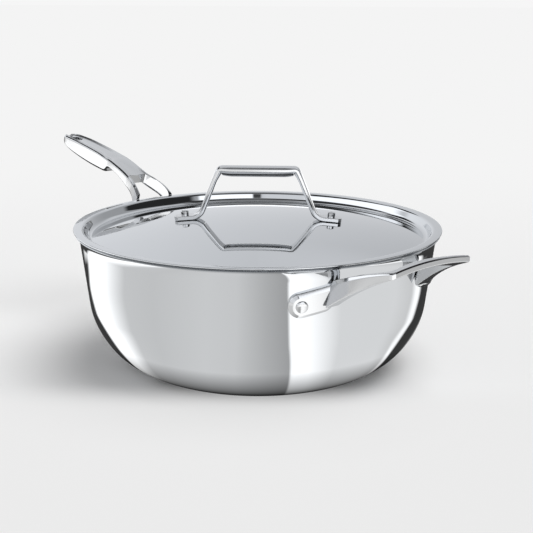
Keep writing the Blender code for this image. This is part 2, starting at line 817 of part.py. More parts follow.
def lid_hole(name, side, cutters, parent):
    """Cutter for a lid rivet's hole."""
    shape = bmesh.new()
    bmesh.ops.create_cone(
        shape,
        cap_ends=True,
        segments=RIVET_STEPS,
        radius1=LID_SHANK_RADIUS + HOLE_CLEARANCE,
        radius2=LID_SHANK_RADIUS + HOLE_CLEARANCE,
        depth=4 * (LID_SHEET + TAB_THICKNESS),
    )
    mesh = bpy.data.meshes.new(name)
    shape.to_mesh(mesh)
    shape.free()
    cutter = add_object(mesh, name, cutters, parent=parent)
    cutter.matrix_local = lid_rivet_frame(side)
    return cutter


def build_pan(parts, cutters):
    """The clad body, both handles and their rivets."""
    azimuths = {
        "helper_handle_rivet_left": HELPER_PAD_AZIMUTH,
        "helper_handle_rivet_right": -HELPER_PAD_AZIMUTH,
        "long_handle_rivet_left": math.pi + LONG_PAD_AZIMUTH,
        "long_handle_rivet_right": math.pi - LONG_PAD_AZIMUTH,
    }
    holes = {name: wall_hole(f"{name}_hole", angle, cutters) for name, angle in azimuths.items()}
    depth = 0.0
    for name, thickness, finish in (
        ("pan_outer_skin", SKIN_THICKNESS, POLISHED_STEEL),
        ("pan_aluminium_core", CORE_THICKNESS, BARE_ALUMINIUM),
        ("pan_lining", LINING_THICKNESS, SATIN_STEEL),
    ):
        pan_layer(name, depth, thickness, holes.values(), parts, finish)
        depth += thickness + SEAT_GAP
    wall = pan_envelope("wall_envelope", SEAT_GAP, cutters)
    pad_envelope = pan_envelope("pad_envelope", SEAT_GAP + PAD_THICKNESS, cutters)
    helper_holes = [holes["helper_handle_rivet_left"], holes["helper_handle_rivet_right"]]
    long_holes = [holes["long_handle_rivet_left"], holes["long_handle_rivet_right"]]
    helper_handle(parts, cutters, wall, pad_envelope, helper_holes, CAST_STEEL)
    long_handle(parts, cutters, wall, pad_envelope, long_holes, CAST_STEEL)
    for name, azimuth in azimuths.items():
        pan_rivet(name, azimuth, parts, CAST_STEEL)


def build_lid(parts, cutters):
    """The lid's sheet, its handle and its rivets, on an empty that lifts with the lid."""
    pivot = bpy.data.objects.new("lid", None)
    parts.objects.link(pivot)
    pivot.location = (0, 0, LID_TOP)
    pivot.rotation_euler = (0, 0, LID_TURN)
    sides = {"left": -1, "right": 1}
    holes = [lid_hole(f"lid_hole_{name}", side, cutters, pivot) for name, side in sides.items()]
    lid_shell(parts, POLISHED_STEEL, pivot, holes)
    lid_handle(parts, CAST_STEEL, pivot, holes)
    for name, side in sides.items():
        lid_rivet(f"lid_handle_rivet_{name}", side, parts, CAST_STEEL, pivot)


def main():
    """Builds the whole pan with its lid."""
    clear_scene()
    parts = new_collection("Chefs pan with lid")
    cutters = new_collection("Cutters")
    cutters.hide_render = True
    build_pan(parts, cutters)
    build_lid(parts, cutters)
    bpy.context.view_layer.update()


main()
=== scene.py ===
"""The chef's pan with its lid, dressed for a studio picture.

Lengths are in metres. The pan stands at the origin with its helper handle towards +X and its long
handle towards -X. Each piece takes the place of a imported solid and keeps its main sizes. Its finer
forms follow the photograph.
"""

import math

import bmesh
import bpy
import numpy as np
from mathutils import Matrix, Vector


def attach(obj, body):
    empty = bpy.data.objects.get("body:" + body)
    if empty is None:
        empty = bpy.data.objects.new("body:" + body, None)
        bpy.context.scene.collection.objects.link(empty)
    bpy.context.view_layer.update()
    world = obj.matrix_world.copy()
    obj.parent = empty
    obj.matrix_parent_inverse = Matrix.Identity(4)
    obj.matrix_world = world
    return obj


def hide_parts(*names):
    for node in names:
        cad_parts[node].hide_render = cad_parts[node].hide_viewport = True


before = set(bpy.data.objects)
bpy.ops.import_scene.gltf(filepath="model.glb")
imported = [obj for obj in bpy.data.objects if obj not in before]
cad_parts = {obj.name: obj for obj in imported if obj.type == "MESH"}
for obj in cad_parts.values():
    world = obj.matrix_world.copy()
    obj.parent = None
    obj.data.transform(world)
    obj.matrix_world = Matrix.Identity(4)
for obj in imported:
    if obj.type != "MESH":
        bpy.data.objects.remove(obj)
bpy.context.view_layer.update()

MM = 0.001

# Pan body: outside of the clad sheet, and how deep each layer's faces lie in it
PAN_HEIGHT = 116.7 * MM
LIP_RADIUS = 148.8 * MM
FLARE_RADIUS = 14.4 * MM
LIP_TILT = math.radians(45)
WALL_SLOPE = math.radians(6.8)
CORNER_RADIUS = 65 * MM
SHEET = 2.9 * MM
SKIN_DEPTHS = (0, 0.65 * MM)
CORE_DEPTHS = (0.65 * MM, 2.25 * MM)
LINING_DEPTHS = (2.25 * MM, SHEET)

# Lid
LID_RADIUS = 150 * MM
LID_SHEET = 1 * MM
LID_TOP = PAN_HEIGHT + 1.3 * MM
LID_TURN = math.radians(47.5)
FLANGE_WIDTH = 8 * MM
RECESS_RADIUS = 138.5 * MM
RECESS_FILLET = 4.6 * MM
FLANGE_FILLET = 3 * MM
DOME_RADIUS = 700 * MM
CROWN_RISE = 5 * MM

# Lid handle
STRAP_WIDTH = 12.4 * MM
LOOP_TOP = CROWN_RISE + 42.8 * MM
GRIP_HALF_LENGTH = 33.2 * MM
LEG_FOOT_REACH = 49.5 * MM
TAB_REACH = 68.7 * MM
LOOP_TOP_BEND = 6 * MM
LOOP_FOOT_BEND = 8 * MM
TAB_THICKNESS = 3.3 * MM
TAB_END_ROUND = 4.5 * MM
TAB_END_TAPER = 0.77
SEAT_GAP = 0.3 * MM
# What changes along the strap, at its tab, its leg and its grip
STRAP_THICKNESS = (TAB_THICKNESS, 4.6 * MM, 9 * MM)
STRAP_CROWN = (0, 0.55 * MM, 2.2 * MM)
STRAP_UNDER_ROUND = (0.5 * MM, 2 * MM, 5.2 * MM)
# Rounding of its upper corners
STRAP_UPPER_ROUND = 0.8 * MM
# Where the grip starts to pass into the leg and the leg into the tab, and how far that takes, as
# shares of the grip's half length and of the leg's length
GRIP_TO_LEG = (0.62, 0.75)
LEG_TO_TAB = (0.86, 0.26)

# Pads and rivets
PAD_HEIGHT = PAN_HEIGHT - 27.5 * MM
PAD_THICKNESS = 3.5 * MM
PAD_BEVEL = 2.8 * MM
PAD_SIDE = 1.9 * MM
PAD_RIM_ROUNDS = (0.8 * MM, 0.4 * MM)
PAD_RADIUS = 9.5 * MM
PAD_TILT = math.radians(12)
PAD_INTO_ARM = 3 * MM
# Handles and pads run this deep into the skin, out of sight, and they stand this far off the lid
# from this height over the lip's edge
SUNK = 0.8 * MM
LID_CLEARANCE = 1.5 * MM
OVER_LIP = 0.6 * MM
# A rivet's heads are given as radius and height, and a dome as a share of its head's height
RIVET_SIDES = 64
PAN_RIVET_SHANK = 2.6 * MM
PAN_RIVET_OUTER = (4.5 * MM, 1.3 * MM)
PAN_RIVET_INNER = (5.6 * MM, 1.6 * MM)
PAN_RIVET_DOME = 0.85
LID_RIVET_SHANK = 2 * MM
LID_RIVET_OUTER = (3.2 * MM, 4 * MM)
LID_RIVET_INNER = (4.5 * MM, 1.2 * MM)
LID_RIVET_DOME = 0.3
LID_RIVET_REACH = 59.8 * MM
HEAD_SIDE = 0.3 * MM
# The solids' heads stand this far off what they hold, and here they reach down to it
HEAD_CLEARANCE = 0.4 * MM

# Helper handle
HELPER_REACH = LID_RADIUS + 39 * MM
HELPER_RISE = 3.9 * MM
HELPER_ARCH = 3.3 * MM
HELPER_HALF_SPAN = 41.2 * MM
HELPER_ROOT_HALF_SPAN = 50.5 * MM
HELPER_ARM_THICKNESS = 7 * MM
HELPER_BAR_WIDTH = 10 * MM
HELPER_BAR_DEPTH = 5 * MM
HELPER_OUTER_CORNER = 4 * MM
HELPER_INNER_CORNER = 5 * MM
HELPER_FALL = 11.5 * MM
HELPER_CURVE = 7.8 * MM
HELPER_WEB = 8.3 * MM
HELPER_WEB_CURVE = 11.2 * MM
HELPER_FLARE = 7.5 * MM
# The upper outer corner's lean as a share of the flare, and the ridge's place across the section,
# at the bar and at the root
HELPER_LEAN = 0.12
HELPER_RIDGE = (0.10, 0.16)
HELPER_DISH = 0.9 * MM
HELPER_DISH_SPAN = 0.68
HELPER_DISH_BAND = 1.2 * MM
HELPER_SHOULDER = 3.2 * MM
HELPER_EDGE = 1.3 * MM
HELPER_LOWER_ROUND = 0.8 * MM
HELPER_UPPER_ROUND = 0.45 * MM
# How far inside the wall the arms end, and how far inside it their straight lines are aimed
HELPER_ROOT_DEPTH = 4 * MM
HELPER_AIM_DEPTH = 16 * MM
HELPER_PAD_AZIMUTH = math.radians(27.8)

# Long handle, out from the lid's edge and rise above the lip: underside, top, and half width, in mm
LONG_STATIONS = (
    (-3.5, -37.5, -15.3, -35.6, 23.4),
    (-2.2, -30.0, -14.0, -27.6, 23.2),
    (-0.2, -22.0, -12.6, -18.2, 22.9),
    (2.8, -14.0, -9.5, -8.4, 22.2),
    (6.8, -6.7, -3.6, 0.6, 20.6),
    (12.0, 0.0, 5.6, 9.6, 18.0),
    (20.8, 4.5, 16.7, 15.4, 15.0),
    (30.6, 8.5, 25.8, 18.6, 12.9),
    (41.8, 14.7, 37.1, 22.9, 12.1),
    (52.5, 19.5, 49.0, 27.1, 12.0),
    (62.5, 22.2, 60.0, 30.5, 11.9),
    (69.8, 17.6, 69.0, 32.4, 11.6),
    (82.9, 18.6, 80.5, 35.0, 11.0),
    (102.9, 22.0, 99.8, 38.5, 10.7),
    (124.6, 27.2, 121.5, 42.0, 10.6),
    (141.5, 32.2, 139.5, 44.1, 9.9),
    (147.5, 35.5, 146.0, 44.8, 9.0),
    (151.5, 38.4, 150.5, 45.0, 7.0),
    (153.6, 41.5, 153.0, 44.9, 3.6),
)
LONG_DISH = 1.9 * MM
LONG_EDGE = 1.2 * MM
# Corners of its section, across as shares of the half width and up as a share of the depth
LONG_SOLE = 0.8
LONG_SIDE_FOOT = (1.015, 0.18)
LONG_SIDE_TOP = 0.98
LONG_RIDGE = 0.81
# The largest rounding of its gap's lips and bend of its underside
LONG_LIP = 0.5 * MM
LONG_BEND = 2.2 * MM
LONG_PAD_AZIMUTH = math.radians(16)
FORK_CROTCH = 28.5 * MM
FORK_CORNER = 3 * MM
# Out from the lid's edge and half width of the fork's gap, in mm
FORK_GAP = ((-10, 18.4), (8, 14.2), (28.5, 9.2))
HANG_HOLE_OUT = 137 * MM
HANG_HOLE_WIDTH = 6.8 * MM
HANG_HOLE_LENGTH = 13.6 * MM
# The hole lies between these rows of the stations
HANG_HOLE_STATIONS = (14, 16)

# Camera: the picture's side and the focal length in its pixels, and the place off the lid's rim
IMAGE = 533
FOCAL = 1030
SENSOR_WIDTH = 36
CAMERA_DISTANCE = 850 * MM
CAMERA_RISE = math.radians(12.05)
CAMERA_AZIMUTH = math.radians(50)
CAMERA_PITCH = math.radians(14.46)
CAMERA_YAW = math.radians(0.5)
CAMERA_ROLL = math.radians(0.3)


# Paths and surfaces, as whole arrays


def unit(vector):
    """The vector divided by its length."""
    return vector / np.linalg.norm(vector, axis=-1, keepdims=True)


def fillet(corners, radii, steps=12):
    """A polyline whose inner corners are arcs, centred at corner + bisector * r / sin(half angle)."""
    corners = np.array(corners, float)
    path = [corners[:1]]
    share = np.linspace(0, 1, steps + 1)[:, None]
    for before, corner, after, radius in zip(corners, corners[1:], corners[2:], radii):
        back, ahead = unit(before - corner), unit(after - corner)
        half = math.acos(back @ ahead) / 2
        centre = corner + unit(back + ahead) * radius / math.sin(half)
        first = corner + back * radius / math.tan(half) - centre
        last = corner + ahead * radius / math.tan(half) - centre
        sweep = math.pi - 2 * half
        arc = first * np.sin((1 - share) * sweep) + last * np.sin(share * sweep)
        path.append(centre + arc / math.sin(sweep))
    path.append(corners[-1:])
    return np.vstack(path)


def offset(path, distance):
    """The path moved to its left. A point moves by distance * 2 m / |m|^2, where m is the sum of its
    two legs' left normals, and one on the axis stays on it."""
    legs = unit(np.diff(path, axis=0))
    left = np.stack([-legs[:, 1], legs[:, 0]], axis=1)
    mitre = np.vstack([left[:1], left]) + np.vstack([left, left[-1:]])
    mitre *= 2 / np.sum(mitre**2, axis=1)[:, None]
    moved = path + distance * mitre
    moved[path[:, 0] == 0, 0] = 0
    return moved


def resample(path, count):
    """Points at even steps of the path's length, and that length at each."""
    legs = np.linalg.norm(np.diff(path, axis=0), axis=1)
    length = np.concatenate([[0], np.cumsum(legs)])
    even = np.linspace(0, length[-1], count)
    return np.stack([np.interp(even, length, column) for column in path.T], axis=1), even


def smoothstep(share):
    """3 s^2 - 2 s^3, for s held between 0 and 1."""
    share = np.clip(share, 0, 1)
    return share * share * (3 - 2 * share)


def through_table(keys, samples):
    """Rows on the Catmull-Rom cubic through the keys, where key number k has the parameter k."""
    keys = np.array(keys, float)
    before = np.vstack([2 * keys[:1] - keys[1:2], keys, 2 * keys[-1:] - keys[-2:-1]])
    first = np.clip(samples.astype(int), 0, len(keys) - 2)
    t = (samples - first)[:, None]
    a, b, c, d = (before[first + step] for step in range(4))
    bend = (2 * a - 5 * b + 4 * c - d) * t**2 + (3 * b - a - 3 * c + d) * t**3
    return b + 0.5 * ((c - a) * t + bend)


def rounded_section(corners, radii, arc=6, fill=7):
    """Closed sections, each a polygon with rounded corners, as rows of two coordinates.

    Corner C with A and B at its radius before and after it becomes (1-t)^2 A + 2t(1-t) C + t^2 B.
    Between two corners the side is filled with evenly spread points.
    """
    before, after = np.roll(corners, 1, axis=1), np.roll(corners, -1, axis=1)
    start = corners + unit(before - corners) * radii[..., None]
    end = corners + unit(after - corners) * radii[..., None]
    t = np.linspace(0, 1, arc)[:, None]
    s = np.linspace(0, 1, fill + 2)[1:-1, None]
    columns = []
    for k in range(corners.shape[1]):
        a, c, b = (part[:, k, None] for part in (start, corners, end))
        columns.append((1 - t) ** 2 * a + 2 * t * (1 - t) * c + t**2 * b)
        following = start[:, (k + 1) % corners.shape[1], None]
        columns.append(b + (following - b) * s)
    return np.concatenate(columns, axis=1)


def sheet(points, capped=False):
    """Vertices and quads of a grid whose last column joins its first. A capped one has one more row
    at each end, all of it at the end row's mean point."""
    if capped:
        first, last = (
            np.broadcast_to(end.mean(axis=1, keepdims=True), end.shape)
            for end in (points[:1], points[-1:])
        )
        points = np.concatenate([first, points, last])
    index = np.arange(points.shape[0] * points.shape[1]).reshape(points.shape[:2])
    index = np.hstack([index, index[:, :1]])
    quads = np.stack([index[:-1, :-1], index[1:, :-1], index[1:, 1:], index[:-1, 1:]], axis=-1)
    return points.reshape(-1, 3), quads.reshape(-1, 4)


def turned(profile, sides=288):
    """The grid (r cos a, r sin a, z) for the profile's points (r, z) and evenly spread angles a."""
    angle = np.linspace(0, 2 * math.pi, sides, endpoint=False)
    radius, height = profile[:, :1], profile[:, 1:]
    return np.stack([radius * np.cos(angle), radius * np.sin(angle), height + 0 * angle], axis=-1)


def placed(points, matrix):
    """The points carried by a 4 by 4 matrix."""
    matrix = np.array(matrix)
    return points @ matrix[:3, :3].T + matrix[:3, 3]


def mirrored(points, axis):
    """The points with one coordinate's sign changed."""
    return points * np.where(np.arange(3) == axis, -1, 1)


def piece(name, sheets, material, body, node, crease=32):
    """One object from one or more sheets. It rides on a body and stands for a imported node."""
    starts = np.cumsum([0] + [len(points) for points, _ in sheets])
    points = np.vstack([points for points, _ in sheets])
    quads = np.vstack([quads + start for (_, quads), start in zip(sheets, starts)])
    mesh = bpy.data.meshes.new(name)
    mesh.vertices.add(len(points))
    mesh.vertices.foreach_set("co", points.ravel())
    mesh.loops.add(quads.size)
    mesh.loops.foreach_set("vertex_index", quads.ravel())
    mesh.polygons.add(len(quads))
    mesh.polygons.foreach_set("loop_start", np.arange(0, quads.size, 4))
    mesh.update(calc_edges=True)
    shape = bmesh.new()
    shape.from_mesh(mesh)
    bmesh.ops.remove_doubles(shape, verts=shape.verts, dist=0.002 * MM)
    bmesh.ops.recalc_face_normals(shape, faces=shape.faces)
    shape.to_mesh(mesh)
    shape.free()
    mesh.shade_smooth()
    mesh.set_sharp_from_angle(angle=math.radians(crease))
    mesh.materials.append(material)
    obj = bpy.data.objects.new(name, mesh)
    bpy.context.scene.collection.objects.link(obj)
    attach(obj, body)
    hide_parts(node)


# Metals

# Most of a noise lies between these values
NOISE = (0.3, 0.7)


def linear(code):
    """An sRGB hex colour as linear red, green, blue and 1."""
    parts = np.array([int(code[i : i + 2], 16) for i in (1, 3, 5)]) / 255
    parts = np.where(parts <= 0.04045, parts / 12.92, ((parts + 0.055) / 1.055) ** 2.4)
    return (*parts, 1.0)


def node(tree, kind, values=None, **settings):
    """A shader node with its settings. A value that is a socket is linked, one that is a node is
    linked by its first output, and any other is set."""
    made = tree.nodes.new(kind)
    for key, value in settings.items():
        setattr(made, key, value)
    for socket, value in (values or {}).items():
        if isinstance(value, bpy.types.Node):
            value = value.outputs[0]
        if isinstance(value, bpy.types.NodeSocket):
            tree.links.new(value, made.inputs[socket])
        else:
            made.inputs[socket].default_value = value
    return made


def metal(name, colour, roughness, drift, patch, grain, relief, rings=False):
    """A metal whose roughness drifts in soft patches, over a fine grain or fine rings.

    Roughness = its middle value plus or minus the drift, by a noise of the patch's size. Height =
    relief * a noise of the grain's size, taken over the surface or, for rings, over the distance
    from the pan's axis.
    """
    material = bpy.data.materials.new(name)
    material.use_nodes = True
    tree = material.node_tree
    place = node(tree, "ShaderNodeTexCoord").outputs["Object"]
    cloud = node(tree, "ShaderNodeTexNoise", {"Vector": place, "Scale": 1 / patch, "Detail": 3.0})
    rough = node(
        tree,
        "ShaderNodeMapRange",
        {
            "Value": cloud,
            "From Min": NOISE[0],
            "From Max": NOISE[1],
            "To Min": roughness - drift,
            "To Max": roughness + drift,
        },
    )
    if rings:
        flat = node(
            tree, "ShaderNodeVectorMath", {0: place, 1: (1, 1, 0)}, operation="MULTIPLY"
        )
        radius = node(tree, "ShaderNodeVectorMath", {0: flat}, operation="LENGTH")
        marks = node(
            tree,
            "ShaderNodeTexNoise",
            {"W": radius.outputs["Value"], "Scale": 1 / grain, "Detail": 4.0},
            noise_dimensions="1D",
        )
    else:
        marks = node(
            tree, "ShaderNodeTexNoise", {"Vector": place, "Scale": 1 / grain, "Detail": 2.0}
        )
    bump = node(
        tree, "ShaderNodeBump", {"Height": marks, "Strength": 1.0, "Distance": relief}
    )
    shader = tree.nodes["Principled BSDF"]
    shader.inputs["Base Color"].default_value = linear(colour)
    shader.inputs["Metallic"].default_value = 1
    tree.links.new(rough.outputs["Result"], shader.inputs["Roughness"])
    tree.links.new(bump.outputs["Normal"], shader.inputs["Normal"])
    return material


# Mirror-polished 18/10 stainless sheet: sharp reflections with a faint haze that drifts over the
# sheet, from buffing in wide passes, and a waviness too slight to bend the reflected edges.
polished_skin = metal(
    "mirror-polished stainless sheet, pan",
    "#cdcfd1",
    roughness=0.045,
    drift=0.015,
    patch=45 * MM,
    grain=9 * MM,
    relief=0.002 * MM,
)
polished_lid = metal(
    "mirror-polished stainless sheet, lid",
    "#cdcfd1",
    roughness=0.035,
    drift=0.015,
    patch=60 * MM,
    grain=12 * MM,
    relief=0.002 * MM,
)
# Satin stainless lining, turned with an abrasive pad: fine rings round the axis. Real ones lie
# 0.1 mm apart; they are drawn 0.8 mm apart so that they show.
satin_lining = metal(
    "satin stainless lining",
    "#c8c8c8",
    roughness=0.27,
    drift=0.03,
    patch=30 * MM,
    grain=0.8 * MM,
    relief=0.01 * MM,
    rings=True,
)
# Aluminium core, bare only where the sheet was cut at the lip: a flat bluish grey, dull aluminium
# made darker as painted shade, which stands for the shadow under the lid's flange.
bare_aluminium = metal(
    "bare aluminium, darkened as painted shade",
    "#8a8d91",
    roughness=0.28,
    drift=0.05,
    patch=12 * MM,
    grain=0.5 * MM,
    relief=0.01 * MM,
)
# Cast stainless handles, belt-ground and then buffed: a soft sheen with a trace of the ground grain.
buffed_helper = metal(
    "buffed cast stainless, helper handle",
    "#cbcccd",
    roughness=0.12,
    drift=0.03,
    patch=18 * MM,
    grain=0.6 * MM,
    relief=0.003 * MM,
)
buffed_long = metal(
    "buffed cast stainless, long handle",
    "#cbcccd",
    roughness=0.11,
    drift=0.03,
    patch=18 * MM,
    grain=0.6 * MM,
    relief=0.003 * MM,
)
# Stainless bar, bent to a strap and buffed a little brighter than the cast handles.
buffed_strap = metal(
    "buffed stainless strap",
    "#cbcccd",
    roughness=0.09,
    drift=0.03,
    patch=18 * MM,
    grain=0.6 * MM,
    relief=0.002 * MM,
)
# Cold-headed stainless rivets, left with the press tool's smooth face.
headed_rivet = metal(
    "cold-headed stainless rivet",
    "#c9cacb",
    roughness=0.16,
    drift=0.03,
    patch=4 * MM,
    grain=0.5 * MM,
    relief=0.003 * MM,
)


# Pan body

# Rings of the flat base
DISC_STEPS = 8
EDGE_HEIGHT = PAN_HEIGHT - SHEET * math.sin(LIP_TILT)
FLARE_CENTRE = (
    LIP_RADIUS + FLARE_RADIUS * math.cos(LIP_TILT),
    EDGE_HEIGHT - FLARE_RADIUS * math.sin(LIP_TILT),
)
SHOULDER = (
    FLARE_CENTRE[0] - FLARE_RADIUS * math.cos(WALL_SLOPE),
    FLARE_CENTRE[1] + FLARE_RADIUS * math.sin(WALL_SLOPE),
)


def wall_radius(height):
    """Outer radius of the straight wall: the shoulder's, less the drop times tan(slope)."""
    return SHOULDER[0] - (SHOULDER[1] - height) * math.tan(WALL_SLOPE)


CORNER_TOP = CORNER_RADIUS * (1 - math.sin(WALL_SLOPE))
BASE_RADIUS = wall_radius(CORNER_TOP) - CORNER_RADIUS * math.cos(WALL_SLOPE)
PAD_WALL = wall_radius(PAD_HEIGHT)


def pan_outside():
    """Base disc, corner arc, straight wall and flare arc, as points (r, z) from the axis to the lip.

    The corner is (base + R cos a, R + R sin a), and the flare its centre + R (-cos a, sin a).
    """
    radius = np.linspace(0, BASE_RADIUS, DISC_STEPS + 1)[:-1]
    disc = np.stack([radius, 0 * radius], axis=1)
    angle = np.linspace(-math.pi / 2, -WALL_SLOPE, 60)
    turn = np.stack([np.cos(angle), np.sin(angle)], axis=1)
    corner = np.array([BASE_RADIUS, CORNER_RADIUS]) + CORNER_RADIUS * turn
    angle = np.linspace(WALL_SLOPE, LIP_TILT, 16)
    turn = np.stack([-np.cos(angle), np.sin(angle)], axis=1)
    flare = np.array(FLARE_CENTRE) + FLARE_RADIUS * turn
    share = np.linspace(0, 1, 14)[1:-1, None]
    wall = corner[-1:] * (1 - share) + flare[:1] * share
    return np.vstack([disc, corner, wall, flare])


def pan_layer(name, depths, material):
    """One layer of the clad sheet: the outside offset inwards to the depths of its two faces."""
    outside = pan_outside()
    loop = np.vstack([offset(outside, depths[1]), offset(outside, depths[0])[::-1]])
    piece(name, [sheet(turned(loop))], material, "pan", name)


def wall_matrix(azimuth):
    """A rivet's place on the wall: X along the wall, Y up it and Z out of it."""
    lean, rise = math.cos(WALL_SLOPE), math.sin(WALL_SLOPE)
    across, along = math.cos(azimuth), math.sin(azimuth)
    out = Vector((lean * across, lean * along, -rise))
    up = Vector((rise * across, rise * along, lean))
    matrix = Matrix((up.cross(out), up, out)).transposed().to_4x4()
    matrix.translation = (PAD_WALL * across, PAD_WALL * along, PAD_HEIGHT)
    return matrix


def on_wall(along, up, out, azimuth):
    """Points off a rivet's place by arc lengths along and up the wall and by a height out of it.

    They are (r cos a, r sin a, h - out sin(slope)), with r = the wall's radius at h + out
    cos(slope) and a = azimuth + along / the wall's radius at the rivet.
    """
    height = PAD_HEIGHT + up * math.cos(WALL_SLOPE)
    radius = wall_radius(height) + out * math.cos(WALL_SLOPE)
    angle = azimuth + along / PAD_WALL
    level = height - out * math.sin(WALL_SLOPE)
    return np.stack([radius * np.cos(angle), radius * np.sin(angle), level], axis=-1)


def rivet_loop(shank, outer, outer_seat, inner, inner_seat, dome):
    """A rivet's outline: each head is a straight side and an elliptic dome, joined by the shank.

    A dome is (r sin a, seat + side + (height - side) cos a). Its height is a share of the head's.
    """
    angle = np.linspace(0, math.pi / 2, 14)
    halves = []
    for (radius, height), seat, way in ((outer, outer_seat, 1), (inner, inner_seat, -1)):
        height = height + HEAD_CLEARANCE
        side = max(height * (1 - dome), HEAD_SIDE)
        rise = side + (height - side) * np.cos(angle)
        head = np.stack([radius * np.sin(angle), seat + way * rise], axis=1)
        halves.append(np.vstack([head, [(radius, seat), (shank, seat)]]))
    return np.vstack([halves[0], halves[1][::-1]])


def pan_rivet(name, azimuth):
    """A rivet through a pad and the clad wall."""
    loop = rivet_loop(
        PAN_RIVET_SHANK,
        PAN_RIVET_OUTER,
        PAD_THICKNESS + SEAT_GAP,
        PAN_RIVET_INNER,
        -SHEET,
        PAN_RIVET_DOME,
    )
    grid = placed(turned(loop, RIVET_SIDES), wall_matrix(azimuth))
    piece(name, [sheet(grid)], headed_rivet, "pan", name, crease=50)


def pad(azimuth, side, arm_centre):
    """A tongue on the wall: outlines of falling radius and rising height round one centre line.

    Outline point = line point + radius * outward normal, laid on the wall's cone. The end by the
    rivet is round. The upper corner in the arm is square: its normal is divided by its larger part.
    """
    run = (PAD_WALL * abs(math.sin(azimuth)) - arm_centre) / abs(math.cos(azimuth))
    run -= PAD_RADIUS - PAD_INTO_ARM
    end = np.array([-side * run * math.cos(PAD_TILT), run * math.sin(PAD_TILT)])
    heading = unit(end)
    across = np.array([-heading[1], heading[0]])
    turn = np.linspace(0, math.pi, 25)[:, None]
    step = np.linspace(0, 1, 13)[1:-1, None]
    upper = across[1] * np.cos(turn) > 0
    square = np.where(upper, np.maximum(np.abs(np.cos(turn)), np.sin(turn)), 1)
    far = (across * np.cos(turn) + heading * np.sin(turn)) / square
    near = -across * np.cos(turn) - heading * np.sin(turn)
    normals = np.vstack([far, -across + 0 * step, near, across + 0 * step])
    line = np.vstack([end + 0 * turn, end * (1 - step), 0 * (end + turn), end * step])
    top = PAD_THICKNESS + SEAT_GAP
    rim = fillet(
        [(PAD_RADIUS, -SUNK), (PAD_RADIUS, PAD_SIDE), (PAD_RADIUS - PAD_BEVEL, top), (0, top)],
        PAD_RIM_ROUNDS,
        6,
    )
    rim = np.vstack([[(0, -SUNK)], rim])
    flat = line[None] + rim[:, None, :1] * normals[None]
    height = rim[:, None, 1] + 0 * flat[..., 0]
    return sheet(on_wall(flat[..., 0], flat[..., 1], height, azimuth))


def off_the_pan(points):
    """Points that would lie in the pan or in the lid's way are moved out from the axis.

    Below the lip they stop a little under the skin, out of sight, and above it a little off the
    lid, which leaves its way up free.
    """
    outside = pan_outside()[DISC_STEPS:]
    levels = np.append(outside[:, 1], EDGE_HEIGHT + OVER_LIP)
    limits = np.append(outside[:, 0] - SUNK, LID_RADIUS + LID_CLEARANCE)
    radius = np.hypot(points[..., 0], points[..., 1])
    least = np.interp(points[..., 2], levels, limits)
    grow = np.maximum(least / radius, 1)
    return points * np.stack([grow, grow, np.ones_like(grow)], axis=-1)


# Helper handle


def helper_plan():
    """Outer and inner plan lines from the bar's middle, round the corner and down the arm.

    Each is a straight bar, the corner centre + r (cos a, sin a) and a straight arm, which is cut
    off inside the wall before the point that it is aimed at.
    """
    root, aim = PAD_WALL - HELPER_ROOT_DEPTH, PAD_WALL - HELPER_AIM_DEPTH
    splay = math.atan2(HELPER_ROOT_HALF_SPAN - HELPER_HALF_SPAN, HELPER_REACH - aim)
    share = np.linspace(0, 1, 26)[:-1, None]
    angle = np.linspace(0, math.pi / 2 - splay, 18)[:, None]
    turn = np.hstack([np.cos(angle), np.sin(angle)])
    lines = []
    for bar_inset, arm_inset, corner in (
        (0, 0, HELPER_OUTER_CORNER),
        (HELPER_BAR_WIDTH, HELPER_ARM_THICKNESS, HELPER_INNER_CORNER),
    ):
        face, side = HELPER_REACH - bar_inset, HELPER_HALF_SPAN - arm_inset
        bar = np.hstack([face + 0 * share, share * (side - corner)])
        bend = np.array([face - corner, side - corner]) + turn * corner
        far = np.array([aim, HELPER_ROOT_HALF_SPAN - arm_inset])
        reach = (bend[-1, 0] - root) / (bend[-1, 0] - aim)
        arm = bend[-1] + (far - bend[-1]) * np.linspace(0, reach, 46)[1:, None]
        lines.append(np.vstack([bar, bend, arm]))
    return lines


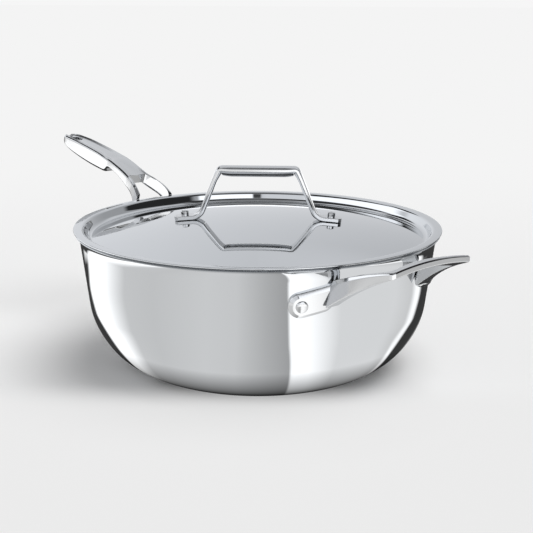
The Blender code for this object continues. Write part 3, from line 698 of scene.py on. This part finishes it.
def helper_loop():
    """Half the helper handle: a five-cornered section with a dished top along the plan lines.

    Top height = lip + rise + arch (1 - (y/span)^2) - fall s - curve s^2, and depth = bar's +
    web s + web curve s^2, where s runs from 0 at the bar to 1 at the arms' aim. The outer upper
    corner is bevelled, and its bevel grows into the arm's sloping shoulder. Corners are given as
    a share from the outer line to the inner one, a share of the depth and a drop.
    """
    outer, inner = helper_plan()
    run = HELPER_REACH - PAD_WALL + HELPER_AIM_DEPTH
    arch = HELPER_ARCH * np.clip(1 - (outer[:, 1] / HELPER_HALF_SPAN) ** 2, 0, 1)
    near = smoothstep((HELPER_REACH - outer[:, 0]) / run)
    flare = HELPER_FLARE / HELPER_ARM_THICKNESS * near**3
    drop = HELPER_EDGE + (HELPER_SHOULDER - HELPER_EDGE) * near
    ridge = HELPER_RIDGE[0] + (HELPER_RIDGE[1] - HELPER_RIDGE[0]) * near
    still = 0 * flare
    corners = []
    for across, level, fall in (
        (-flare, 0, still),
        (-HELPER_LEAN * flare, 1, drop),
        (ridge, 1, still),
        (1 + still, 1, still),
        (1 + still, 0, still),
    ):
        place = outer + (inner - outer) * across[:, None]
        inward = (HELPER_REACH - place[:, 0]) / run
        top = PAN_HEIGHT + HELPER_RISE - HELPER_FALL * inward - HELPER_CURVE * inward**2 + arch
        depth = HELPER_BAR_DEPTH + HELPER_WEB * inward + HELPER_WEB_CURVE * inward**2
        height = top - depth * (1 - level) - fall
        corners.append(np.column_stack([place, height]))
    corners = np.stack(corners, axis=1)
    radii = np.full(corners.shape[:2], HELPER_LOWER_ROUND)
    radii[:, 1:4] = HELPER_UPPER_ROUND
    grid = rounded_section(corners, radii)
    mid, width = (outer + inner) / 2, np.linalg.norm(outer - inner, axis=1)
    away = np.linalg.norm(grid[..., :2] - mid[:, None], axis=-1) / (width[:, None] / 2)
    top_line = corners[:, 2:4, 2].mean(axis=1)[:, None]
    upper = grid[..., 2] > top_line - HELPER_DISH_BAND
    grid[..., 2] -= upper * HELPER_DISH * np.clip(1 - (away / HELPER_DISH_SPAN) ** 2, 0, 1)
    return off_the_pan(grid)


def helper_handle():
    """The bar, both arms and both pads."""
    half = helper_loop()
    arm_centre = HELPER_ROOT_HALF_SPAN - HELPER_ARM_THICKNESS / 2
    whole = np.concatenate([mirrored(half, 1)[:0:-1], half])
    sheets = [
        sheet(whole, capped=True),
        pad(HELPER_PAD_AZIMUTH, 1, arm_centre),
        pad(-HELPER_PAD_AZIMUTH, -1, arm_centre),
    ]
    piece("helper_handle", sheets, buffed_helper, "pan", "helper_handle")


# Long handle


def long_sections():
    """Half sections from the underside to the top, open at the plane y = 0 except where a hole is.

    A section's corners are the gap's low edge, the underside's edge, the side's foot, the side's
    top, the ridge and the gap's top edge. Its top is dished by dish (1 - (y/ridge)^2), which dies
    away below with the 4th power of the height's share. The gap is the fork's, rounded at its
    closed end, or the hang hole's, a slot with round ends. Rows stand closer round both. Bevels,
    roundings and the dish are held to shares of the section, so that they shrink with the tip.
    """
    even = np.linspace(0, len(LONG_STATIONS) - 1, 210)
    fine = np.unique(np.concatenate([even, np.linspace(*HANG_HOLE_STATIONS, 60)]))
    out_top = through_table(LONG_STATIONS, fine)[:, 2] * MM
    crotch = np.interp(FORK_CROTCH, out_top, fine)
    fine = np.sort(np.concatenate([fine, [crotch, crotch], crotch - np.linspace(0.01, 0.5, 14)]))
    out, rise, out_top, rise_top, half_width = through_table(LONG_STATIONS, fine).T * MM
    depth = np.hypot(out_top - out, rise_top - rise)
    gap = np.interp(out_top, *(np.array(FORK_GAP).T * MM))
    into = np.clip(FORK_CROTCH - out_top, 0, FORK_CORNER)
    gap -= FORK_CORNER - np.sqrt(FORK_CORNER**2 - (FORK_CORNER - into) ** 2)
    at_crotch = np.flatnonzero(np.abs(fine - crotch) < 1e-9)
    gap[at_crotch[-1] :] = 0
    radius = HANG_HOLE_WIDTH / 2
    past = np.abs((out + 3 * out_top) / 4 - HANG_HOLE_OUT) - (HANG_HOLE_LENGTH / 2 - radius)
    hole = np.sqrt(np.clip(radius**2 - np.clip(past, 0, None) ** 2, 0, None))
    gap = np.maximum(gap, hole)
    ridge = LONG_RIDGE * half_width
    edge = np.minimum(LONG_EDGE, 0.2 * depth)
    corners = [
        (gap, 0 * gap),
        (np.maximum(LONG_SOLE * half_width, gap + LONG_LIP), 0 * gap),
        (LONG_SIDE_FOOT[0] * half_width, LONG_SIDE_FOOT[1] * depth),
        (LONG_SIDE_TOP * half_width, depth - edge),
        (ridge, depth),
        (gap, depth),
    ]
    corners = np.array(corners).transpose(2, 0, 1)
    lip = np.minimum(LONG_LIP, 0.25 * gap)
    bend = np.minimum(LONG_BEND, 0.16 * half_width)
    radii = np.stack([lip, 0.8 * bend, 0.4 * bend, 0.5 * edge, 0.5 * edge, lip], axis=1)
    flat = rounded_section(corners, radii, fill=9)
    across, lift = flat[..., 0], flat[..., 1]
    dish = np.minimum(LONG_DISH, 0.35 * depth)[:, None]
    bowl = np.clip(1 - (across / ridge[:, None]) ** 2, 0, 1)
    lift = lift - dish * bowl * (lift / depth[:, None]) ** 4
    share = lift / depth[:, None]
    x = -(LID_RADIUS + out[:, None] + (out_top - out)[:, None] * share)
    z = PAN_HEIGHT + rise[:, None] + (rise_top - rise)[:, None] * share
    return off_the_pan(np.stack([x, across, z], axis=-1))


def long_handle():
    """Two arms on pads, which meet in a dished grip with a hang hole.

    The half's faces in the plane y = 0 are left out, so that it joins its mirror image there. The
    tip's cap meets at a point of that plane, and the root's at one inside its arm.
    """
    half = long_sections()
    points, quads = sheet(half, capped=True)
    middle = np.abs(points[:, 1]) < 0.001 * MM
    row = half.shape[1]
    points[-row:, 1] = 0
    quads = quads[~middle[quads].all(axis=1)]
    arm_centre = (LONG_STATIONS[0][4] + FORK_GAP[0][1]) / 2 * MM
    sheets = [
        (points, quads),
        (mirrored(points, 1), quads[:, ::-1]),
        pad(math.pi + LONG_PAD_AZIMUTH, 1, arm_centre),
        pad(math.pi - LONG_PAD_AZIMUTH, -1, arm_centre),
    ]
    piece("long_handle", sheets, buffed_long, "pan", "long_handle")


# Lid

LID_MATRIX = Matrix.Translation((0, 0, LID_TOP)) @ Matrix.Rotation(LID_TURN, 4, "Z")


def dome_height(radius):
    """Height of the dome above the flange: crown - R + sqrt(R^2 - r^2)."""
    return CROWN_RISE - DOME_RADIUS + np.sqrt(DOME_RADIUS**2 - radius**2)


def lid_loop():
    """The lid's sheet: dome, filleted recess wall and flange, the half circle of its edge, and the
    underside, which is the top offset by the sheet's thickness."""
    radius = np.linspace(0, RECESS_RADIUS, 40)
    dome = np.stack([radius, dome_height(radius)], axis=1)
    bends = fillet(
        [dome[-4], dome[-1], (LID_RADIUS - FLANGE_WIDTH, 0), (LID_RADIUS - LID_SHEET / 2, 0)],
        (RECESS_FILLET, FLANGE_FILLET),
        14,
    )
    top = np.vstack([dome[:-3], bends[1:]])
    turn = np.linspace(math.pi / 2, -math.pi / 2, 11)[1:-1]
    edge = top[-1] + LID_SHEET / 2 * np.stack([np.cos(turn), np.sin(turn) - 1], axis=1)
    return np.vstack([top, edge, offset(top, -LID_SHEET)[::-1]])


def lid_shell():
    """The pressed sheet of the lid."""
    grid = placed(turned(lid_loop()), LID_MATRIX)
    piece("lid_shell", [sheet(grid)], polished_lid, "lid", "lid_shell")


def tab_top(reach):
    """Height of a tab's top face: the dome's tangent at the rivet, plus (gap + tab) / cos(slope)."""
    slope = LID_RIVET_REACH / math.sqrt(DOME_RADIUS**2 - LID_RIVET_REACH**2)
    seat = dome_height(LID_RIVET_REACH) - slope * (reach - LID_RIVET_REACH)
    return seat + (SEAT_GAP + TAB_THICKNESS) / math.cos(math.atan(slope))


def strap_half():
    """Half of the strap: a four-cornered section with a crowned top along the bent centre line.

    Crown = height (1 - (y/half width)^2). It, the thickness and the roundness of the underside pass
    smoothly from grip to leg to tab. The tab's end narrows by sqrt(1 - taper s^2), where s runs
    over its last few millimetres.
    """
    corners = [
        (0, LOOP_TOP),
        (GRIP_HALF_LENGTH, LOOP_TOP),
        (LEG_FOOT_REACH, tab_top(LEG_FOOT_REACH)),
        (TAB_REACH, tab_top(TAB_REACH)),
    ]
    line, length = resample(fillet(corners, (LOOP_TOP_BEND, LOOP_FOOT_BEND), 24), 190)
    half_grip, leg = np.linalg.norm(np.diff(np.array(corners), axis=0), axis=1)[:2]
    start, reach = GRIP_TO_LEG
    at_grip = 1 - smoothstep((length / half_grip - start) / reach)
    start, reach = LEG_TO_TAB
    at_leg = 1 - smoothstep(((length - half_grip) / leg - start) / reach)
    back = np.clip((length - length[-1] + TAB_END_ROUND) / TAB_END_ROUND, 0, 1)
    half_width = STRAP_WIDTH / 2 * np.sqrt(1 - TAB_END_TAPER * back**2)
    thickness, crown, under = (
        on_tab + (on_leg - on_tab) * at_leg + (on_grip - on_leg) * at_grip
        for on_tab, on_leg, on_grip in (STRAP_THICKNESS, STRAP_CROWN, STRAP_UNDER_ROUND)
    )
    level = 0 * length
    section = [
        (half_width, -thickness),
        (half_width, level),
        (-half_width, level),
        (-half_width, -thickness),
    ]
    section = np.array(section).transpose(2, 0, 1)
    upper = level + STRAP_UPPER_ROUND
    flat = rounded_section(section, np.stack([under, upper, upper, under], axis=1), fill=11)
    across, lift = flat[..., 0], flat[..., 1]
    share = np.clip(1 + 2 * lift / thickness[:, None], 0, 1)
    lift = lift - crown[:, None] * (across / half_width[:, None]) ** 2 * share
    along = unit(np.gradient(line, axis=0))
    along[0] = (1, 0)
    x = line[:, :1] - along[:, 1:] * lift
    z = line[:, 1:] + along[:, :1] * lift
    return np.stack([x, across, z], axis=-1)


def lid_handle():
    """The strap: its half and that half's mirror image."""
    half = strap_half()
    whole = np.concatenate([mirrored(half, 0)[:0:-1], half])
    strap = sheet(placed(whole, LID_MATRIX), capped=True)
    piece("lid_handle", [strap], buffed_strap, "lid", "lid_handle")


def lid_rivet(name, side):
    """A rivet through a tab and the lid's sheet, square to the dome."""
    loop = rivet_loop(
        LID_RIVET_SHANK,
        LID_RIVET_OUTER,
        SEAT_GAP + TAB_THICKNESS,
        LID_RIVET_INNER,
        -LID_SHEET,
        LID_RIVET_DOME,
    )
    stand = Matrix.Rotation(side * math.asin(LID_RIVET_REACH / DOME_RADIUS), 4, "Y")
    stand.translation = (side * LID_RIVET_REACH, 0, float(dome_height(LID_RIVET_REACH)))
    grid = placed(turned(loop, RIVET_SIDES), LID_MATRIX @ stand)
    piece(name, [sheet(grid)], headed_rivet, "lid", name, crease=50)


# Studio

# Tones of the cards on the floor, by the angle in degrees from the camera's side to its right
NEAR_CARDS = (
    (-168, 0.35),
    (-152, 0.03),
    (-125, 0.03),
    (-119, 0.95),
    (-95, 0.95),
    (-76, 0.50),
    (-55, 0.48),
    (-25, 0.53),
    (-10, 0.51),
    (4, 0.38),
    (15.1, 0.30),
    (15.5, 1.0),
    (25, 0.95),
    (42, 0.60),
    (80, 0.59),
    (98, 0.50),
    (104, 0.85),
    (109, 0.85),
    (114, 0.03),
    (146, 0.03),
    (164, 0.35),
)
FAR_CARDS = (
    (-170, 1.0),
    (-158, 0.03),
    (-135, 0.03),
    (-128, 1.0),
    (-92, 1.0),
    (-72, 0.42),
    (-44, 0.62),
    (-6, 0.66),
    (-3, 1.0),
    (46, 1.0),
    (54, 0.42),
    (110, 0.42),
    (122, 0.03),
    (150, 0.03),
    (162, 1.0),
)
# Distances from the pan's middle: the cards' edges, where they fade in, where their light grows
# from a painted shadow of the pan to the open floor, and where the near tones pass into the far ones
CARD_RING = (0.078, 2.2)
CARD_FADE = (0.080, 0.096)
CARD_PAINTED_SHADOW = (0.097, 0.140)
CARD_CHANGE = (0.37, 0.43)
# Their light in the painted shadow of the pan and on the open floor, and how high they lie
CARD_LIGHT = (0.04, 1.75)
CARD_LIFT = 0.4 * MM
# How the near tones draw in: s runs from 0 at the first distance to this value at the second, and
# its square times this share widens an angle, in full from this many degrees on
CARD_DRAW = (0.31, 0.08)
CARD_DRAW_MOST = 1.25
CARD_DRAW_SHARE = 0.714
CARD_DRAW_ANGLE = 70

# Softboxes and black flags round the pan: angles from the camera's side to its right, rises above
# the floor, softness of the edge in degrees, and brightness. A later one covers an earlier one.
PANELS = {
    "right front softbox": ((3.5, 47), (1, 38), 1.5, 1.75),
    "right black flag": ((52, 110), (3, 60), 3, 0.03),
    "strip flag above the camera": ((-2.5, 4), (22, 36), 1, 0.02),
    "left front softbox": ((-36, -5), (1, 22), 1.5, 1.15),
    "middle front softbox": ((-4, 6), (1, 18), 1.2, 1.75),
    "left front softbox, upper": ((-36, -4), (20, 38), 3, 1.0),
    "left softbox": ((-128, -50), (-3, 16), 4, 0.80),
    "left softbox, upper": ((-128, -38), (16, 34), 2, 1.7),
    "left black flag": ((-130, -45), (36, 60), 2, 0.05),
    "high front black flag": ((-138, 80), (42, 72), 2, 0.05),
    "high black ring": ((-181, 181), (64, 72), 2, 0.05),
    "dark ceiling": ((-181, 181), (75, 95), 3, 0.25),
    "high back softbox": ((138, 181), (28, 58), 5, 0.85),
    "left back black flag": ((-162, -134), (25, 42), 3, 0.02),
    "left back light strip": ((-181, -130), (-1, 0.8), 0.6, 1.75),
    "right back light strip": ((130, 181), (-1, 0.8), 0.6, 1.75),
}
# Tones of the room behind them, from the camera's left to its right, reached where a direction's
# sideways part is this large, and the room's light on matt surfaces
ROOM_TONES = (1.17, 0.49)
ROOM_SPAN = 0.7
ROOM_LIGHT = 0.27

# The paper's reach and the size of its flecks, which real paper has finer: they are drawn this
# coarse so that they show. Then the places along the camera's line, from the pan's middle and
# away from the camera, between which it takes up light of its own, and the most of it in front.
# In front this glow is painted light, which washes out the pan's shadow there
FLOOR_RADIUS = 60
PAPER_FLECK = 3 * MM
BACK_LIGHT = (-0.25, 1.1)
FRONT_PAINTED_GLOW = (-0.055, -0.115)
FRONT_PAINTED_GLOW_SHARE = 0.85

# The lamp's strength, the angle that it fills, and where it stands
LAMP_LIGHT = 2.27
LAMP_WIDTH = math.radians(48)
LAMP_TO_THE_RIGHT = math.radians(78)
LAMP_RISE = math.radians(70)


def place_camera():
    """The camera stands off the lid's rim, at 50 degrees from the handles' line.

    Turned back by its azimuth, it is at distance * (0, -cos(rise), sin(rise)) and looks along
    (sin(yaw) cos(pitch), cos(yaw) cos(pitch), -sin(pitch)), rolled about that line.
    """
    turn = np.array(Matrix.Rotation(CAMERA_AZIMUTH, 3, "Z"))
    place = CAMERA_DISTANCE * np.array([0, -math.cos(CAMERA_RISE), math.sin(CAMERA_RISE)])
    across = math.cos(CAMERA_PITCH)
    forward = np.array(
        [
            math.sin(CAMERA_YAW) * across,
            math.cos(CAMERA_YAW) * across,
            -math.sin(CAMERA_PITCH),
        ]
    )
    right = unit(np.cross(forward, [0, 0, 1]))
    up = np.cross(right, forward)
    c, s = math.cos(CAMERA_ROLL), math.sin(CAMERA_ROLL)
    right, up = right * c + up * s, up * c - right * s
    matrix = Matrix((turn @ np.stack([right, up, -forward], axis=1)).tolist()).to_4x4()
    matrix.translation = Vector(turn @ place) + Vector((0, 0, LID_TOP))
    data = bpy.data.cameras.new("camera")
    data.sensor_width = SENSOR_WIDTH
    data.lens = SENSOR_WIDTH * FOCAL / IMAGE
    data.clip_start = 0.01
    camera = bpy.data.objects.new("camera", data)
    bpy.context.scene.collection.objects.link(camera)
    camera.matrix_world = matrix
    bpy.context.scene.camera = camera


def stage_material(name):
    """An empty material for the stage, and its tree."""
    material = bpy.data.materials.new(name)
    material.use_nodes = True
    material.node_tree.nodes.clear()
    return material, material.node_tree


def stage_sheet(name, inner, outer, height, material):
    """A flat ring of the stage, (r cos a, r sin a, height)."""
    profile = np.column_stack([np.geomspace(inner, outer, 24), np.full(24, height)])
    points, quads = sheet(turned(profile, 96))
    mesh = bpy.data.meshes.new(name)
    mesh.from_pydata(points.tolist(), [], quads.tolist())
    mesh.materials.append(material)
    obj = bpy.data.objects.new(name, mesh)
    bpy.context.scene.collection.objects.link(obj)
    return obj


def camera_parts(tree, direction):
    """A place or a direction split into parts to the camera's right, away from it and up."""
    back = node(
        tree,
        "ShaderNodeVectorRotate",
        {"Vector": direction, "Angle": -CAMERA_AZIMUTH},
        rotation_type="Z_AXIS",
    )
    return node(tree, "ShaderNodeSeparateXYZ", {"Vector": back})


def plan_angle(tree, parts):
    """Angle round the pan in degrees, atan2(right, near): 0 at the camera's side, 90 at its right."""
    near = node(tree, "ShaderNodeMath", {0: parts.outputs["Y"], 1: -1.0}, operation="MULTIPLY")
    angle = node(
        tree, "ShaderNodeMath", {0: parts.outputs["X"], 1: near}, operation="ARCTAN2"
    )
    return node(tree, "ShaderNodeMath", {0: angle}, operation="DEGREES")


def build_floor():
    """A pale paper sweep, which fades into the backdrop's tone behind and glows in front: painted
    light, which washes out the pan's shadow there."""
    material, tree = stage_material("pale paper sweep")
    place = node(tree, "ShaderNodeTexCoord").outputs["Object"]
    parts = camera_parts(tree, place)
    fibre = node(
        tree, "ShaderNodeTexNoise", {"Vector": place, "Scale": 1 / PAPER_FLECK, "Detail": 2.0}
    )
    colour = node(
        tree,
        "ShaderNodeMix",
        {"Factor": fibre, 6: linear("#f1f1f1"), 7: linear("#f3f3f3")},
        data_type="RGBA",
    )
    surface = node(tree, "ShaderNodeBsdfDiffuse", {"Color": colour.outputs[2]})
    # The glow in front is painted light: it lifts the pan's shadow off the paper there.
    for glow, (start, end), most in (
        ("#f4f4f4", BACK_LIGHT, 1),
        ("#ebebeb", FRONT_PAINTED_GLOW, FRONT_PAINTED_GLOW_SHARE),
    ):
        share = node(
            tree,
            "ShaderNodeMapRange",
            {"Value": parts.outputs["Y"], "From Min": start, "From Max": end, "To Max": most},
            interpolation_type="SMOOTHSTEP",
        )
        light = node(tree, "ShaderNodeEmission", {"Color": linear(glow), "Strength": 1.0})
        surface = node(tree, "ShaderNodeMixShader", {0: share, 1: surface, 2: light})
    node(tree, "ShaderNodeOutputMaterial", {"Surface": surface})
    stage_sheet("floor", 1 * MM, FLOOR_RADIUS, 0, material)


def card_tones(tree, angle, tones):
    """Greys of the cards laid round the pan, which pass evenly from each angle to the next."""
    turn = node(
        tree, "ShaderNodeMapRange", {"Value": angle, "From Min": -180, "From Max": 180}
    )
    cards = node(tree, "ShaderNodeValToRGB", {"Fac": turn})
    stops = cards.color_ramp.elements
    for at, grey in tones:
        stops.new(at / 360 + 0.5).color = (grey, grey, grey, 1)
    stops.remove(stops[0])
    stops.remove(stops[-1])
    return cards


def build_reflector():
    """A ring of grey, white and black card on the floor, seen only in the metal.

    Its tones depend on the angle round the pan. Near the pan the pattern narrows, as the curved
    wall shows it: the tone at an angle a is that of a (1 + share s^2 min(|a| / limit, 1)), where
    s grows from the outer distance to the inner one. Near the pan they dim: a painted shadow.
    """
    material, tree = stage_material("reflector cards")
    place = node(tree, "ShaderNodeTexCoord").outputs["Object"]
    angle = plan_angle(tree, camera_parts(tree, place))
    distance = node(tree, "ShaderNodeVectorMath", {0: place}, operation="LENGTH")
    distance = distance.outputs["Value"]
    draw = node(
        tree,
        "ShaderNodeMapRange",
        {
            "Value": distance,
            "From Min": CARD_DRAW[0],
            "From Max": CARD_DRAW[1],
            "To Max": CARD_DRAW_MOST,
        },
    )
    draw = node(tree, "ShaderNodeMath", {0: draw, 1: 2.0}, operation="POWER")
    aside = node(tree, "ShaderNodeMath", {0: angle}, operation="ABSOLUTE")
    aside = node(
        tree,
        "ShaderNodeMapRange",
        {"Value": aside, "From Max": CARD_DRAW_ANGLE, "To Max": CARD_DRAW_SHARE},
    )
    drawn = node(tree, "ShaderNodeMath", {0: draw, 1: aside, 2: 1.0}, operation="MULTIPLY_ADD")
    drawn = node(tree, "ShaderNodeMath", {0: angle, 1: drawn}, operation="MULTIPLY")
    change, fade = (
        node(
            tree,
            "ShaderNodeMapRange",
            {"Value": distance, "From Min": start, "From Max": end},
            interpolation_type=step,
        )
        for (start, end), step in ((CARD_CHANGE, "LINEAR"), (CARD_FADE, "SMOOTHSTEP"))
    )
    tones = node(
        tree,
        "ShaderNodeMix",
        {
            "Factor": change,
            6: card_tones(tree, drawn, NEAR_CARDS),
            7: card_tones(tree, angle, FAR_CARDS),
        },
        data_type="RGBA",
    )
    # The cards dim near the pan: a painted shadow of the pan, as the metal shows it.
    light = node(
        tree,
        "ShaderNodeMapRange",
        {
            "Value": distance,
            "From Min": CARD_PAINTED_SHADOW[0],
            "From Max": CARD_PAINTED_SHADOW[1],
            "To Min": CARD_LIGHT[0],
            "To Max": CARD_LIGHT[1],
        },
    )
    glow = node(tree, "ShaderNodeEmission", {"Color": tones.outputs[2], "Strength": light})
    clear = node(tree, "ShaderNodeBsdfTransparent")
    surface = node(tree, "ShaderNodeMixShader", {0: fade, 1: clear, 2: glow})
    node(tree, "ShaderNodeOutputMaterial", {"Surface": surface})
    cards = stage_sheet("reflector", *CARD_RING, CARD_LIFT, material)
    cards.visible_camera = False
    cards.visible_diffuse = False
    cards.visible_shadow = False
    cards.visible_transmission = False


def panel_share(tree, angle, rise, angles, rises, soft):
    """1 inside a panel's angles and rises and 0 outside: a smooth step at each edge, multiplied."""
    share = 1.0
    for value, (low, high) in ((angle, angles), (rise, rises)):
        for start, end in ((low - soft, low + soft), (high + soft, high - soft)):
            edge = node(
                tree,
                "ShaderNodeMapRange",
                {"Value": value, "From Min": start, "From Max": end},
                interpolation_type="SMOOTHSTEP",
            )
            share = node(tree, "ShaderNodeMath", {0: share, 1: edge}, operation="MULTIPLY")
    return share


def build_world():
    """The room: plain light for matt surfaces, panels for the metal and a pale backdrop.

    A panel changes the tone behind it by (its brightness - tone) * its share.
    """
    world = bpy.data.worlds.new("studio")
    world.use_nodes = True
    bpy.context.scene.world = world
    tree = world.node_tree
    tree.nodes.clear()
    parts = camera_parts(tree, node(tree, "ShaderNodeTexCoord").outputs["Generated"])
    angle = plan_angle(tree, parts)
    rise = node(tree, "ShaderNodeMath", {0: parts.outputs["Z"]}, operation="ARCSINE")
    rise = node(tree, "ShaderNodeMath", {0: rise}, operation="DEGREES")
    tone = node(
        tree,
        "ShaderNodeMapRange",
        {
            "Value": parts.outputs["X"],
            "From Min": -ROOM_SPAN,
            "From Max": ROOM_SPAN,
            "To Min": ROOM_TONES[0],
            "To Max": ROOM_TONES[1],
        },
    )
    for name, (angles, rises, soft, grey) in PANELS.items():
        share = panel_share(tree, angle, rise, angles, rises, soft)
        tone = node(
            tree, "ShaderNodeMix", {0: share, 2: tone, 3: grey}, data_type="FLOAT", label=name
        )
    tint = node(
        tree,
        "ShaderNodeMix",
        {0: 1.0, 6: linear("#f9fbff"), 7: tone},
        data_type="RGBA",
        blend_type="MULTIPLY",
    )
    in_metal, room, backdrop = (
        node(tree, "ShaderNodeBackground", {"Color": colour, "Strength": light})
        for colour, light in (
            (tint.outputs[2], 1.0),
            (linear("#ffffff"), ROOM_LIGHT),
            (linear("#f6f6f6"), 1.0),
        )
    )
    ray = node(tree, "ShaderNodeLightPath").outputs
    seen = node(tree, "ShaderNodeMixShader", {0: ray["Is Glossy Ray"], 1: room, 2: in_metal})
    seen = node(tree, "ShaderNodeMixShader", {0: ray["Is Camera Ray"], 1: seen, 2: backdrop})
    node(tree, "ShaderNodeOutputWorld", {"Surface": seen})


def build_lamp():
    """A wide soft light from high on the camera's right, the same all over the floor."""
    data = bpy.data.lights.new("softbox", "SUN")
    data.energy = LAMP_LIGHT
    data.angle = LAMP_WIDTH
    lamp = bpy.data.objects.new("softbox", data)
    bpy.context.scene.collection.objects.link(lamp)
    bearing = CAMERA_AZIMUTH - math.pi / 2 + LAMP_TO_THE_RIGHT
    across = math.cos(LAMP_RISE)
    towards = Vector(
        (math.cos(bearing) * across, math.sin(bearing) * across, math.sin(LAMP_RISE))
    )
    lamp.matrix_world = towards.to_track_quat("Z", "Y").to_matrix().to_4x4()
    lamp.visible_glossy = False


place_camera()
build_world()
build_floor()
build_reflector()
build_lamp()
bpy.context.scene.view_settings.view_transform = "Standard"

pan_layer("pan_outer_skin", SKIN_DEPTHS, polished_skin)
pan_layer("pan_aluminium_core", CORE_DEPTHS, bare_aluminium)
pan_layer("pan_lining", LINING_DEPTHS, satin_lining)
helper_handle()
long_handle()
pan_rivet("helper_handle_rivet_left", HELPER_PAD_AZIMUTH)
pan_rivet("helper_handle_rivet_right", -HELPER_PAD_AZIMUTH)
pan_rivet("long_handle_rivet_left", math.pi + LONG_PAD_AZIMUTH)
pan_rivet("long_handle_rivet_right", math.pi - LONG_PAD_AZIMUTH)
lid_shell()
lid_handle()
lid_rivet("lid_handle_rivet_left", -1)
lid_rivet("lid_handle_rivet_right", 1)
